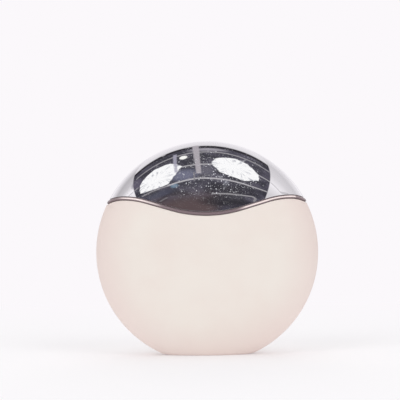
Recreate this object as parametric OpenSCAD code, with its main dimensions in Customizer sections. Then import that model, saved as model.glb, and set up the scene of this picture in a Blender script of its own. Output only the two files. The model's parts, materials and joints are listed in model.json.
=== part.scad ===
// Round facial toning device: a pebble-shaped body with a metal head of two
// electrodes, a wave-shaped seam between them, one button and a charging port.
// The origin is the middle of the flat base. X is the width, -Y the plain
// face, +Y the face with the button, and Z is up. All lengths are in mm.

/* [Outline] */
// Diameter of the round outline
body_d = 84; // [80:0.5:90]
// Thickness through the middle
body_t = 32; // [31:0.5:36]
// Height cut off the bottom of the circle to make the flat base
base_cut = 3.4; // [2.8:0.1:4]
// Radius of the rounded rim
rim_r = 9; // [8:0.5:10]

/* [Wave seam] */
// Height of the dip above the middle of the circle
dip_rise = 13.9; // [12.8:0.1:14.5]
// Radius of the dip
dip_r = 47.3; // [40:0.5:55]
// Slope of the straight flanks in degrees
flank_slope = 16.4; // [12:0.2:18]
// Distance of each crest from the side of the outline
crest_edge = 10.6; // [9:0.1:11]
// Radius of each crest towards the dip
crest_r = 29.5; // [24:0.5:34]
// Radius of each crest towards the rim
end_r = 13; // [12:0.2:18]
// Height of the metal trim ring along the seam
trim_h = 1.3; // [1.2:0.1:2]

/* [Walls] */
// Wall of the two covers
cover_wall = 2; // [1.8:0.1:2.2]
// Wall of the two electrodes
electrode_wall = 1; // [0.8:0.1:1.2]
// Wall of the plastic head carrier
carrier_wall = 1.5; // [1.2:0.1:1.8]
// Floor of the head carrier
carrier_floor = 2; // [1.6:0.1:2.4]
// Depth of the carrier's skirt inside the covers
skirt_depth = 4; // [3.8:0.1:4.4]
// Width of the insulating strip between the electrodes
divider_w = 1.2; // [1:0.1:2]
// Length of the lip that joins the covers
lip_h = 1.5; // [1:0.1:2]
// Height of the head seal
seal_h = 1.2; // [1:0.1:1.4]
// Thickness of the head seal
seal_t = 0.8; // [0.6:0.1:1]

/* [Inner frame] */
// Thickness of the frame's plate
plate_t = 1.6; // [1.2:0.1:2]
// Distance of the plate's hooked edges from the outline
plate_edge = 11; // [10.6:0.1:12]
// Distance of the plate's round ends from the outline
plate_end = 8; // [7.6:0.1:8.6]
// Height of the plate's lower edge
plate_bottom = 9; // [8.5:0.1:9.5]
// Gap between the head's flanges and the main board
flange_gap = 1; // [0.8:0.1:1.2]
// Width of each snap hook
hook_w = 5; // [4:0.5:6]
// Thickness of each snap hook
hook_t = 1.2; // [1:0.1:1.4]
// Reach of each hook's barb
barb = 0.8; // [0.6:0.1:1]

/* [Main board] */
// Distance of the main board's sides from the outline
board_edge = 20; // [19.5:0.1:21]
// Height of the main board
board_h = 32; // [31:0.5:33]
// Thickness of the boards
board_t = 1; // [0.8:0.1:1.2]
// Gap between the main board and the head carrier's floor
board_drop = 4; // [3.6:0.1:4.4]
// Height of the standoffs between frame and main board
standoff_h = 6; // [5.8:0.1:6.4]
// Diameter of the standoffs
standoff_d = 4.4; // [4:0.1:4.6]

/* [Button] */
// Diameter of the button's cap
button_d = 14; // [12:0.5:15]
// Travel of the button
button_travel = 0.5; // [0.3:0.05:0.6]
// Width of the metal ring around the button
bezel_w = 1.7; // [1.4:0.1:2]
// Length of the stem between the cap's flange and the switch
stem_l = 1.4; // [1.2:0.1:1.6]
// Depth of the finger dish in the cap
dish_depth = 0.5; // [0.3:0.05:0.6]
// Radius of the finger dish
dish_r = 30; // [26:1:40]
// Side of the switch under the button
switch_w = 6; // [5.5:0.1:6.5]
// Height of the switch without its plunger
switch_h = 3.5; // [3.3:0.1:3.7]
// Diameter of the switch's plunger
plunger_d = 3.5; // [3:0.1:3.8]
// Height that the plunger stands out of the switch
plunger_out = 1.1; // [1:0.1:1.2]

/* [Status lights] */
// Number of lights
light_count = 3; // [1:1:5]
// Distance between the lights
light_pitch = 5; // [4:0.25:6]
// Diameter of each light guide
guide_d = 1.8; // [1.4:0.1:2.2]
// Height of the row of lights above the main board's lower edge
light_rise = 4; // [3.6:0.1:5]

/* [Battery] */
// Distance of the cell's sides from the outline
cell_edge = 25; // [24.8:0.1:27]
// Height of the battery cell
cell_h = 28; // [26:0.5:28.5]
// Gap between the battery cell and the plain face
cell_front = 5.5; // [5.4:0.1:7]
// Thickness of the foam tape behind the cell
tape_t = 0.5; // [0.3:0.1:0.8]

/* [Vibration motor] */
// Diameter of the motor's can
motor_d = 7; // [6:0.1:7.4]
// Length of the motor's can
motor_l = 16; // [14:0.5:17]
// Diameter of the motor's shaft
shaft_d = 1; // [0.8:0.1:1.2]
// Radius of the off-centre weight
weight_r = 3; // [2.5:0.1:3.2]
// Length of the off-centre weight
weight_l = 4; // [3:0.1:5]
// Rubber under the motor
saddle_floor = 1.2; // [1:0.1:1.6]

/* [Charging port] */
// Width of the port's metal shell
port_w = 8.94; // [8.9:0.01:9]
// Height of the port's metal shell
port_h = 3.16; // [3.1:0.01:3.3]
// Depth of the port's metal shell
port_l = 7.3; // [7:0.1:7.6]
// Wall of the port's metal shell
port_wall = 0.3; // [0.25:0.05:0.35]
// Recess of the port's mouth behind the base
port_recess = 0.3; // [0.2:0.1:0.6]
// Width of the port's own board
port_board_w = 14; // [13.5:0.5:16]

/* [Screws] */
// Diameter of the frame, head and board screws
screw_d = 1.6; // [1.4:0.1:1.7]
// Diameter of the screw heads
screw_head_d = 3.2; // [3:0.1:3.4]
// Height of the screw heads
screw_head_h = 1.2; // [1:0.1:1.3]
// Diameter of the bosses
boss_d = 4.6; // [4.2:0.1:5]

/* [Clearances] */
// Visible gap along each outer seam
seam_gap = 0.1; // [0.05:0.05:0.2]
// Gap between pieces that seat in each other
fit_gap = 0.05; // [0.03:0.01:0.1]
// Gap around the button's cap
button_gap = 0.12; // [0.1:0.01:0.2]
// Gap between the covers and the port's shell
port_gap = 0.15; // [0.1:0.05:0.25]

/* [Hidden] */
$fn = 96;
// Arcs that run into each other overlap by this much, so that they cross
graze = 0.01;
// Longer than anything in the part
far = 200;

body_r = body_d / 2;
mid_z = body_r - base_cut;
half_t = body_t / 2;

// The face arc that runs smoothly into the rim circle
rim_x = body_r - rim_r;
face_r = (rim_x * rim_x + half_t * half_t - rim_r * rim_r) / (2 * (half_t - rim_r));
face_back = face_r - half_t;
join_angle = atan2(rim_x, face_back);

// The wave seam: dip arc, straight flank, crest arc and end arc
dip_z = mid_z + dip_rise;
crest_x = body_r - crest_edge;
dip_cz = dip_z + dip_r;
flank_start_x = dip_r * sin(flank_slope);
flank_start_z = dip_cz - dip_r * cos(flank_slope);
flank_end_x = crest_x - crest_r * sin(flank_slope);
flank_end_z = flank_start_z + tan(flank_slope) * (flank_end_x - flank_start_x);
crest_cz = flank_end_z - crest_r * cos(flank_slope);
end_cz = crest_cz + crest_r - end_r;

// The button, its ring and its seal
button_r = button_d / 2;
button_hole_r = button_r + button_gap;
button_flange_r = button_r + 1.6;
button_flange_t = 0.8;
bezel_r = button_hole_r + bezel_w;
bezel_t = 0.8;
bezel_sunk = 0.5;
bezel_chamfer = 0.3;
bezel_y0 = face_y(bezel_r, 0) - bezel_sunk;
seal_ring_r = button_r + 1;
seal_ring_t = 0.6;
seal_ring_y1 = bezel_y0 - 0.65;
stem_d = 5;
button_flange_y1 = face_y(button_flange_r, cover_wall) - 0.2;
button_flange_y0 = button_flange_y1 - button_flange_t;

// The layers, which hang from the button: switch, board, plate, tape and cell
plunger_y1 = button_flange_y0 - stem_l;
plunger_in = 2;
switch_y1 = plunger_y1 - plunger_out;
board_y1 = switch_y1 - switch_h;
board_y0 = board_y1 - board_t;
plate_y1 = board_y0 - standoff_h;
plate_y0 = plate_y1 - plate_t;
cell_y1 = plate_y0 - tape_t;
cell_y0 = cell_front - half_t;
cell_mid_y = (cell_y0 + cell_y1) / 2;

// The head: carrier floor, screws and motor
carrier_inset = electrode_wall + fit_gap;
skirt_inset = cover_wall + fit_gap;
hollow_inset = skirt_inset + carrier_wall;
floor_z0 = dip_z + trim_h + 0.4;
floor_z1 = floor_z0 + carrier_floor;
head_edge = trim_h + 2 * seam_gap;
seal_low = -0.8 * skirt_depth;
plate_w = body_d - 2 * plate_edge;
plate_r = body_r - plate_end;
flange_w = 6;
flange_y1 = board_y0 - flange_gap;
head_screw_x = plate_w / 2 - 1.5 * flange_w;
head_screw_y = flange_y1 - 2.6;
head_screw_l = 5;
head_boss_l = 4.4;
flange_z1 = floor_z0 - head_boss_l;
flange_z0 = flange_z1 - plate_t;
motor_z = floor_z1 + saddle_floor + motor_d / 2;
motor_tail_l = 2;
motor_tail_d = motor_d - 1;
saddle_l = 12;
saddle_w = motor_d + 3;
shaft_in = 3;
shaft_out = 5;
weight_gap = 0.6;

// The boards and the cell, across and up
board_w = body_d - 2 * board_edge;
board_top = floor_z0 - board_drop;
board_bottom = board_top - board_h;
board_mid_z = board_bottom + board_h / 2;
cell_w = body_d - 2 * cell_edge;
cell_bottom = board_top - cell_h;

// The frame's screws, and the board's and the port's
frame_screw_x = plate_w / 2 - 6;
frame_screw_z = [mid_z - 0.4 * plate_r, mid_z + 0.04 * plate_r];
frame_screw_l = 5;
board_screw_x = board_w / 2 - 3;
board_screw_z = [board_bottom + 3, board_top - 7];
board_screw_l = 4;
port_screw_x = 5;
port_screw_z = plate_bottom + 2.2;
port_screw_l = 2.6;
port_standoff_r = 1.8;
hook_z = [mid_z - 0.26 * plate_r, mid_z + 0.15 * plate_r];

// The parts on the main board: width, thickness and height
controller = [7, 1, 7];
charger = [4, 1.2, 5];
driver = [5, 1.2, 4];
choke = [5, 2, 5];
passive = [1.6, 0.6, 0.9];
passive_pitch = 2;
passive_rise = 8;
coil_r = 3;
coil_h = 3;
chip_x = board_w / 4;
chip_low = board_mid_z - 6;
chip_high = board_mid_z + 5;

// The status lights
led = [1.6, 0.7, 0.8];
guide_bar = [1, 2];
guide_y0 = board_y1 + led.y + 0.3;
light_z = board_bottom + light_rise;

// The charging port's board, seated behind its shell
port_z0 = port_recess;
port_z1 = port_z0 + port_l;
port_y1 = port_h / 2;
port_board_z0 = cover_wall + 0.6;
port_board_z1 = port_screw_z + 2.8;
tongue = [6.2, 0.7, 5.6];

// The flat leads: width, thickness and routes across the layers
lead_w = 4;
lead_t = 0.3;
socket = [6, 2.2, 4.4];
socket_z = board_bottom + 1.6;
socket_clear = 1.8;
cell_lead_x = socket.x / 2 + socket_clear + standoff_d / 2 - board_screw_x;
cell_lead_z = board_bottom - 3;
port_lead_z = board_bottom - 1;
motor_lead_w = 2;
motor_lead_x = -motor_l / 2 - motor_tail_l / 2;
lead_y = board_y0 - socket.y / 2;

// The contact strips that reach the electrodes
contact_clear = 2.5;
contact_w = 3;
contact_t = 0.3;
contact_foot = 5;
contact_x = motor_l / 2 + motor_tail_l + contact_clear + contact_w / 2;
front_contact_z = floor_z1 + 5 * contact_t;
rear_contact_z = front_contact_z + contact_w / 2;
slot_gap = 0.3;

// ---------------------------------------------------------------- basic forms

// Half the thickness of the pebble, inset by a wall, at a distance r from its axis
function face_y(r, inset) = sqrt(pow(face_r - inset, 2) - r * r) - face_back;

// Distance of a point from the pebble's axis
function from_axis(x, z) = norm([x, z - mid_z]);

// Half of the pebble's section: face arcs and rim circle, inset by a wall
module half_section(inset) {
    join_x = rim_x + (rim_r - inset) * sin(join_angle);
    intersection() {
        union() {
            intersection() {
                translate([0, -face_back]) circle(face_r - inset, $fn = 240);
                translate([0, face_back]) circle(face_r - inset, $fn = 240);
                square([2 * join_x, body_t], center = true);
            }
            translate([rim_x - graze, 0]) circle(rim_r - inset + graze);
        }
        translate([0, -body_t]) square([body_d, 2 * body_t]);
    }
}

// The whole pebble with its flat base, inset all round by a wall
module pebble(inset) {
    intersection() {
        translate([0, 0, mid_z]) rotate([90, 0, 0]) rotate_extrude($fn = 120) half_section(inset);
        translate([-far / 2, -far / 2, inset]) cube([far, far, far]);
    }
}

// A closed skin between two insets of the pebble
module skin(outer, inner) {
    difference() {
        pebble(outer);
        pebble(inner);
    }
}

// The area below the wave seam, with the seam shifted up by rise
module wave_area(rise) {
    start = [flank_start_x - rise * sin(flank_slope), flank_start_z + rise * cos(flank_slope)];
    end = [flank_end_x - rise * sin(flank_slope), flank_end_z + rise * cos(flank_slope)];
    difference() {
        union() {
            polygon([
                [-end.x, -far], [end.x, -far], end, start, [-start.x, start.y], [-end.x, end.y]
            ]);
            translate([-far / 2, -far]) square([far, far + end_cz]);
            for (side = [-1, 1]) {
                intersection() {
                    translate([side * crest_x, crest_cz]) circle(crest_r + rise + graze, $fn = 180);
                    translate([min(0, side * crest_x), 0]) square([crest_x, far]);
                }
                translate([side * crest_x, end_cz]) circle(end_r + rise + 2 * graze);
            }
        }
        translate([0, dip_cz]) circle(dip_r - rise + graze, $fn = 180);
    }
}

// Everything below the wave seam
module below_wave(rise) {
    rotate([90, 0, 0]) linear_extrude(far, center = true) wave_area(rise);
}

// Keeps what lies above the wave seam
module above_wave(rise) {
    difference() {
        children();
        below_wave(rise);
    }
}

// Everything between two distances from the middle plane
module slab(y0, y1) {
    translate([-far / 2, y0, -far / 2]) cube([far, y1 - y0, 2 * far]);
}

// A cylinder along Y from y0 to y1
module rod(x, z, y0, y1, r) {
    translate([x, y0, z]) rotate([-90, 0, 0]) cylinder(h = y1 - y0, r = r);
}

// A block given by its two corners
module block(low, high) {
    translate(low) cube(high - low);
}

// A screw whose head rests at z = 0 and whose thread points down
module screw(length) {
    recess = 0.7;
    difference() {
        union() {
            cylinder(h = screw_head_h, d = screw_head_d);
            translate([0, 0, -length]) cylinder(h = length + 0.1, d = screw_d);
        }
        for (turn = [0, 90]) {
            rotate(turn) translate([-screw_head_d / 3, -0.2, screw_head_h - recess])
                cube([screw_head_d / 1.5, 0.4, recess + 1]);
        }
    }
}

// The rounded slot shape of the charging port, grown by a margin
module port_shape(grow) {
    r = port_y1 + grow;
    reach = port_w / 2 - port_y1;
    for (side = [-1, 1]) translate([side * reach, 0]) circle(r);
    translate([-reach, -r]) square([2 * reach, 2 * r]);
}

// A flat lead of width w, laid along a route of [y, z] points
module flat_lead(x, w, route) {
    h = lead_t / 2;
    for (i = [0 : len(route) - 2]) {
        a = route[i];
        b = route[i + 1];
        block(
            [x - w / 2, min(a.x, b.x) - h, min(a.y, b.y) - h],
            [x + w / 2, max(a.x, b.x) + h, max(a.y, b.y) + h]
        );
    }
}

// --------------------------------------------------------------------- covers

module cover_skin() {
    intersection() {
        skin(0, cover_wall);
        below_wave(0);
    }
}

module port_opening() {
    translate([0, 0, -1]) linear_extrude(cover_wall + 2) port_shape(port_gap);
}

module front_cover() {
    color([0.93, 0.88, 0.85]) difference() {
        union() {
            intersection() {
                cover_skin();
                slab(-body_t, -seam_gap / 2);
            }
            intersection() {
                skin(cover_wall / 2 + fit_gap, cover_wall);
                below_wave(0);
                slab(-0.5, lip_h);
            }
            for (x = [-frame_screw_x, frame_screw_x], z = frame_screw_z) {
                intersection() {
                    pebble(cover_wall / 2);
                    rod(x, z, -half_t, plate_y0 - fit_gap, boss_d / 2);
                }
            }
        }
        for (x = [-frame_screw_x, frame_screw_x], z = frame_screw_z) {
            rod(x, z, plate_y1 - frame_screw_l - 0.5, plate_y0 + 1, screw_d / 2 + fit_gap);
        }
        port_opening();
    }
}

// A snap hook that grips the frame's front face; side is -1 or 1
module snap_hook(side, z) {
    x0 = plate_w / 2 + fit_gap;
    catch_y = plate_y0 - fit_gap;
    intersection() {
        pebble(cover_wall / 2);
        mirror([side < 0 ? 1 : 0, 0, 0]) union() {
            block([x0, catch_y - hook_t, z - hook_w / 2], [x0 + hook_t, half_t, z + hook_w / 2]);
            block([x0 - barb, catch_y - hook_t, z - hook_w / 2], [x0 + 0.1, catch_y, z + hook_w / 2]);
        }
    }
}

module rear_cover() {
    color([0.93, 0.88, 0.85]) difference() {
        union() {
            difference() {
                intersection() {
                    cover_skin();
                    slab(seam_gap / 2, body_t);
                }
                intersection() {
                    pebble(cover_wall / 2);
                    slab(-1, lip_h + fit_gap);
                }
            }
            for (side = [-1, 1], z = hook_z) snap_hook(side, z);
        }
        rod(0, mid_z, 0, body_t, button_hole_r);
        rod(0, mid_z, bezel_y0, body_t, bezel_r + fit_gap);
        rod(0, mid_z, 0, seal_ring_y1 + fit_gap, seal_ring_r + fit_gap);
        for (i = [0 : light_count - 1]) {
            rod((i - (light_count - 1) / 2) * light_pitch, light_z, 0, body_t, guide_d / 2 + fit_gap);
        }
        port_opening();
    }
}

// ----------------------------------------------------------------------- head

module trim_ring() {
    color([0.86, 0.82, 0.82]) intersection() {
        above_wave(seam_gap) skin(0, cover_wall);
        below_wave(seam_gap + trim_h);
    }
}

module electrode_skin() {
    above_wave(head_edge) skin(0, electrode_wall);
}

module front_electrode() {
    color([0.62, 0.61, 0.64]) intersection() {
        electrode_skin();
        slab(-body_t, -divider_w / 2 - fit_gap);
    }
}

module rear_electrode() {
    color([0.62, 0.61, 0.64]) intersection() {
        electrode_skin();
        slab(divider_w / 2 + fit_gap, body_t);
    }
}

module electrode_divider() {
    color([0.25, 0.25, 0.27]) intersection() {
        above_wave(head_edge) skin(fit_gap, electrode_wall);
        slab(-divider_w / 2, divider_w / 2);
    }
}

module seal_band(outer, inner, grow) {
    intersection() {
        above_wave(seal_low - grow) skin(outer, inner);
        below_wave(seal_low + seal_h + grow);
    }
}

module head_carrier() {
    color([0.92, 0.92, 0.90]) difference() {
        union() {
            difference() {
                union() {
                    above_wave(head_edge) pebble(carrier_inset);
                    above_wave(-skirt_depth) pebble(skirt_inset);
                }
                pebble(hollow_inset);
                above_wave(head_edge + carrier_wall) pebble(carrier_inset + carrier_wall);
            }
            intersection() {
                pebble(skirt_inset + carrier_wall / 4);
                translate([-far / 2, -far / 2, floor_z0]) cube([far, far, carrier_floor]);
            }
            for (side = [-1, 1]) {
                translate([side * head_screw_x, head_screw_y, flange_z1 + fit_gap])
                    cylinder(h = head_boss_l + 0.5, d = boss_d);
            }
        }
        seal_band(0, skirt_inset + seal_t, fit_gap);
        for (side = [-1, 1]) {
            translate([side * head_screw_x, head_screw_y, flange_z0])
                cylinder(h = head_screw_l + 0.5, r = screw_d / 2 + fit_gap);
            block(
                [side * contact_x - contact_w / 2 - slot_gap, board_y0 - 0.8, floor_z0 - 1],
                [side * contact_x + contact_w / 2 + slot_gap, board_y1 + 0.8, floor_z1 + 1]
            );
        }
        block(
            [motor_lead_x - motor_lead_w / 2 - slot_gap, board_y0 - 0.8, floor_z0 - 1],
            [motor_lead_x + motor_lead_w / 2 + slot_gap, board_y0 + 0.5, floor_z1 + 1]
        );
        contact_window(-contact_x, front_contact_z, -half_t, -5);
        contact_window(contact_x, rear_contact_z, 5, half_t);
    }
}

// The window in the carrier's wall for a contact strip
module contact_window(x, z, y0, y1) {
    half = contact_w / 2 + slot_gap;
    block([x - half, y0, z - contact_t / 2 - slot_gap], [x + half, y1, z + contact_t / 2 + slot_gap]);
}

module head_seal() {
    color([0.20, 0.20, 0.21]) seal_band(cover_wall, skirt_inset + seal_t - fit_gap, 0);
}

module head_screws() {
    color([0.70, 0.70, 0.72]) for (side = [-1, 1]) {
        translate([side * head_screw_x, head_screw_y, flange_z0]) mirror([0, 0, 1]) screw(head_screw_l);
    }
}

// Contact strip: a foot on the board, a rise into the head and an arm to the electrode
module contact_strip(x, foot_y, arm_z, tip_y) {
    h = contact_t / 2;
    block(
        [x - contact_w / 2, foot_y - h, board_top - contact_foot],
        [x + contact_w / 2, foot_y + h, arm_z + h]
    );
    block(
        [x - contact_w / 2, min(foot_y, tip_y) + (tip_y < foot_y ? 0 : -h), arm_z - h],
        [x + contact_w / 2, max(foot_y, tip_y) + (tip_y < foot_y ? h : 0), arm_z + h]
    );
}

// How far out an arm can reach before it meets the electrode's inner face
function tip_reach(z) =
    face_y(from_axis(contact_x + contact_w / 2, z + contact_t / 2), electrode_wall) - fit_gap;

module front_contact() {
    color([0.80, 0.66, 0.35])
        contact_strip(-contact_x, board_y0 - contact_t / 2, front_contact_z, -tip_reach(front_contact_z));
}

module rear_contact() {
    color([0.80, 0.66, 0.35])
        contact_strip(contact_x, board_y1 + contact_t / 2, rear_contact_z, tip_reach(rear_contact_z));
}

// ---------------------------------------------------------------------- frame

module inner_frame() {
    color([0.30, 0.31, 0.33]) difference() {
        union() {
            intersection() {
                rod(0, mid_z, plate_y0, plate_y1, plate_r);
                block([-plate_w / 2, -half_t, plate_bottom], [plate_w / 2, half_t, flange_z1]);
            }
            for (x = [-board_screw_x, board_screw_x], z = board_screw_z) {
                rod(x, z, plate_y0, board_y0, standoff_d / 2);
            }
            for (x = [-port_screw_x, port_screw_x]) {
                rod(x, port_screw_z, plate_y0, port_y1, port_standoff_r);
            }
            for (side = [-1, 1]) {
                block(
                    [side * head_screw_x - flange_w / 2, plate_y0, flange_z0],
                    [side * head_screw_x + flange_w / 2, flange_y1, flange_z1]
                );
            }
        }
        for (x = [-frame_screw_x, frame_screw_x], z = frame_screw_z) {
            rod(x, z, -half_t, half_t, screw_d / 2 + 2 * fit_gap);
        }
        for (x = [-board_screw_x, board_screw_x], z = board_screw_z) {
            rod(x, z, board_y1 - board_screw_l - 0.5, half_t, screw_d / 2 + fit_gap);
        }
        for (x = [-port_screw_x, port_screw_x]) {
            rod(x, port_screw_z, -half_t, half_t, screw_d / 2 + fit_gap);
        }
        for (side = [-1, 1]) {
            translate([side * head_screw_x, head_screw_y, 0])
                cylinder(h = far, r = screw_d / 2 + 2 * fit_gap);
        }
        block(
            [cell_lead_x - lead_w / 2 - slot_gap, -half_t, cell_lead_z - lead_t / 2 - slot_gap],
            [cell_lead_x + lead_w / 2 + slot_gap, half_t, cell_lead_z + lead_t / 2 + slot_gap]
        );
    }
}

module frame_screws() {
    color([0.70, 0.70, 0.72]) for (x = [-frame_screw_x, frame_screw_x], z = frame_screw_z) {
        translate([x, plate_y1, z]) rotate([-90, 0, 0]) screw(frame_screw_l);
    }
}

// ----------------------------------------------------------------- main board

module main_board() {
    color([0.10, 0.35, 0.20]) difference() {
        block([-board_w / 2, board_y0, board_bottom], [board_w / 2, board_y1, board_top]);
        for (x = [-board_screw_x, board_screw_x], z = board_screw_z) {
            rod(x, z, 0, half_t, screw_d / 2 + 2 * fit_gap);
        }
    }
}

module board_screws() {
    color([0.70, 0.70, 0.72]) for (x = [-board_screw_x, board_screw_x], z = board_screw_z) {
        translate([x, board_y1, z]) rotate([-90, 0, 0]) screw(board_screw_l);
    }
}

// A chip on the button's side of the board, centred on x and z
module chip(x, z, chip_size) {
    translate([x - chip_size.x / 2, board_y1, z - chip_size.z / 2]) cube(chip_size);
}

module board_chips() {
    color([0.12, 0.12, 0.13]) {
        chip(-chip_x, chip_high, controller);
        chip(-chip_x, chip_low, charger);
        chip(chip_x, chip_high, driver);
        chip(chip_x, chip_low, choke);
        for (side = [-1, 1], i = [0 : 3]) {
            chip(side * (board_screw_x - 1), board_bottom + passive_rise + passive_pitch * i, passive);
        }
        rod(chip_x / 2, board_mid_z, board_y0 - coil_h, board_y0, coil_r);
    }
}

module board_sockets() {
    color([0.90, 0.88, 0.82]) for (x = [cell_lead_x, 0]) {
        difference() {
            block([x - socket.x / 2, board_y0 - socket.y, socket_z],
                  [x + socket.x / 2, board_y0, socket_z + socket.z]);
            block([x - lead_w / 2 - fit_gap, lead_y - lead_t / 2 - fit_gap, socket_z - 1],
                  [x + lead_w / 2 + fit_gap, lead_y + lead_t / 2 + fit_gap, socket_z + socket.z / 2]);
        }
    }
}

module tact_switch() {
    color([0.18, 0.18, 0.19]) difference() {
        block([-switch_w / 2, board_y1, mid_z - switch_w / 2],
              [switch_w / 2, switch_y1, mid_z + switch_w / 2]);
        rod(0, mid_z, switch_y1 - plunger_in - button_travel - 0.1, switch_y1 + 1, plunger_d / 2 + fit_gap);
    }
}

module switch_plunger() {
    color([0.75, 0.20, 0.18]) rod(0, mid_z, switch_y1 - plunger_in, plunger_y1, plunger_d / 2);
}

module status_leds() {
    color([0.95, 0.95, 0.80]) for (i = [0 : light_count - 1]) {
        x = (i - (light_count - 1) / 2) * light_pitch;
        block([x - led.x / 2, board_y1, light_z - led.z / 2],
              [x + led.x / 2, board_y1 + led.y, light_z + led.z / 2]);
    }
}

module light_guide() {
    span = (light_count - 1) * light_pitch / 2;
    color([0.96, 0.96, 0.94]) {
        block([-span - guide_d, guide_y0, light_z - guide_bar.y / 2],
              [span + guide_d, guide_y0 + guide_bar.x, light_z + guide_bar.y / 2]);
        for (i = [0 : light_count - 1]) {
            x = (i - (light_count - 1) / 2) * light_pitch;
            end_y = face_y(from_axis(abs(x), light_z - guide_d / 2), 0);
            rod(x, light_z, guide_y0 + guide_bar.x / 2, end_y, guide_d / 2);
        }
    }
}

// --------------------------------------------------------------------- button

module power_button() {
    color([0.93, 0.88, 0.85]) difference() {
        union() {
            rod(0, mid_z, button_flange_y0, half_t, button_r);
            rod(0, mid_z, button_flange_y0, button_flange_y1, button_flange_r);
            rod(0, mid_z, plunger_y1 + fit_gap, button_flange_y1, stem_d / 2);
        }
        translate([0, half_t - dish_depth + dish_r, mid_z]) sphere(dish_r, $fn = 160);
    }
}

module button_bezel() {
    color([0.86, 0.82, 0.82]) translate([0, bezel_y0, mid_z]) rotate([-90, 0, 0]) rotate_extrude() polygon([
        [button_hole_r, 0], [bezel_r, 0], [bezel_r, bezel_t - bezel_chamfer],
        [bezel_r - bezel_chamfer, bezel_t], [button_hole_r + bezel_chamfer, bezel_t],
        [button_hole_r, bezel_t - bezel_chamfer]
    ]);
}

module button_seal() {
    color([0.20, 0.20, 0.21]) difference() {
        rod(0, mid_z, seal_ring_y1 - seal_ring_t, seal_ring_y1, seal_ring_r);
        rod(0, mid_z, 0, half_t, button_r + fit_gap);
    }
}

// -------------------------------------------------------------------- battery

module battery_cell() {
    bevel = 1.2;
    color([0.72, 0.74, 0.78]) translate([0, 0, cell_bottom]) linear_extrude(cell_h) polygon([
        [-cell_w / 2, cell_y0 + bevel], [-cell_w / 2 + bevel, cell_y0],
        [cell_w / 2 - bevel, cell_y0], [cell_w / 2, cell_y0 + bevel],
        [cell_w / 2, cell_y1 - bevel], [cell_w / 2 - bevel, cell_y1],
        [-cell_w / 2 + bevel, cell_y1], [-cell_w / 2, cell_y1 - bevel]
    ]);
}

module battery_tape() {
    margin = 3;
    color([0.95, 0.95, 0.95]) block(
        [-cell_w / 2 + margin, cell_y1, cell_bottom + margin],
        [cell_w / 2 - margin, plate_y0, cell_bottom + cell_h - margin]
    );
}

module battery_lead() {
    color([0.80, 0.55, 0.20]) flat_lead(cell_lead_x, lead_w, [
        [cell_mid_y, cell_bottom - lead_t / 2], [cell_mid_y, cell_lead_z],
        [lead_y, cell_lead_z], [lead_y, socket_z + socket.z / 2 - lead_t]
    ]);
}

// -------------------------------------------------------------- charging port

module port_shell() {
    color([0.75, 0.75, 0.78]) translate([0, 0, port_z0]) difference() {
        linear_extrude(port_l) port_shape(0);
        translate([0, 0, -1]) linear_extrude(port_l + 1 - port_wall) port_shape(-port_wall);
    }
}

module port_tongue() {
    color([0.12, 0.12, 0.13]) block(
        [-tongue.x / 2, -tongue.y / 2, port_z1 - port_wall - tongue.z],
        [tongue.x / 2, tongue.y / 2, port_z1 - port_wall]
    );
}

module port_board() {
    color([0.10, 0.35, 0.20]) difference() {
        block([-port_board_w / 2, port_y1, port_board_z0],
              [port_board_w / 2, port_y1 + board_t, port_board_z1]);
        for (x = [-port_screw_x, port_screw_x]) {
            rod(x, port_screw_z, 0, half_t, screw_d / 2 + 2 * fit_gap);
        }
    }
}

module port_screws() {
    color([0.70, 0.70, 0.72]) for (x = [-port_screw_x, port_screw_x]) {
        translate([x, port_y1 + board_t, port_screw_z]) rotate([-90, 0, 0]) screw(port_screw_l);
    }
}

module port_lead() {
    foot_y = port_y1 + board_t + lead_t / 2;
    color([0.80, 0.55, 0.20]) flat_lead(0, lead_w, [
        [foot_y, port_z1 + 2], [foot_y, port_lead_z], [lead_y, port_lead_z],
        [lead_y, socket_z + socket.z / 2 - lead_t]
    ]);
}

// ------------------------------------------------------------ vibration motor

module motor_can() {
    color([0.72, 0.73, 0.75]) translate([0, 0, motor_z]) rotate([0, 90, 0]) difference() {
        union() {
            translate([0, 0, -motor_l / 2]) cylinder(h = motor_l, d = motor_d);
            translate([0, 0, -motor_l / 2 - motor_tail_l]) cylinder(h = motor_tail_l + 0.1, d = motor_tail_d);
        }
        translate([0, 0, motor_l / 2 - shaft_in - 0.1]) cylinder(h = far, r = shaft_d / 2 + fit_gap);
    }
}

module motor_shaft() {
    color([0.80, 0.80, 0.82]) translate([motor_l / 2 - shaft_in, 0, motor_z]) rotate([0, 90, 0])
        cylinder(h = shaft_in + shaft_out, d = shaft_d);
}

module motor_weight() {
    color([0.45, 0.45, 0.47]) translate([motor_l / 2 + weight_gap, 0, motor_z]) rotate([0, 90, 0]) {
        difference() {
            cylinder(h = weight_l, r = weight_r);
            translate([-far - shaft_d, -far / 2, -1]) cube([far, far, weight_l + 2]);
            translate([0, 0, -1]) cylinder(h = weight_l + 2, r = shaft_d / 2 + fit_gap / 2);
        }
    }
}

module motor_saddle() {
    color([0.20, 0.20, 0.21]) difference() {
        block([-saddle_l / 2, -saddle_w / 2, floor_z1], [saddle_l / 2, saddle_w / 2, motor_z]);
        translate([0, 0, motor_z]) rotate([0, 90, 0])
            cylinder(h = far, r = motor_d / 2 + fit_gap, center = true);
    }
}

module motor_lead() {
    color([0.80, 0.55, 0.20]) flat_lead(motor_lead_x, motor_lead_w, [
        [board_y0 - lead_t / 2, board_top - contact_foot], [board_y0 - lead_t / 2, floor_z1 + 1],
        [0, floor_z1 + 1], [0, motor_z - motor_tail_d / 2 - lead_t / 2]
    ]);
}

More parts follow.
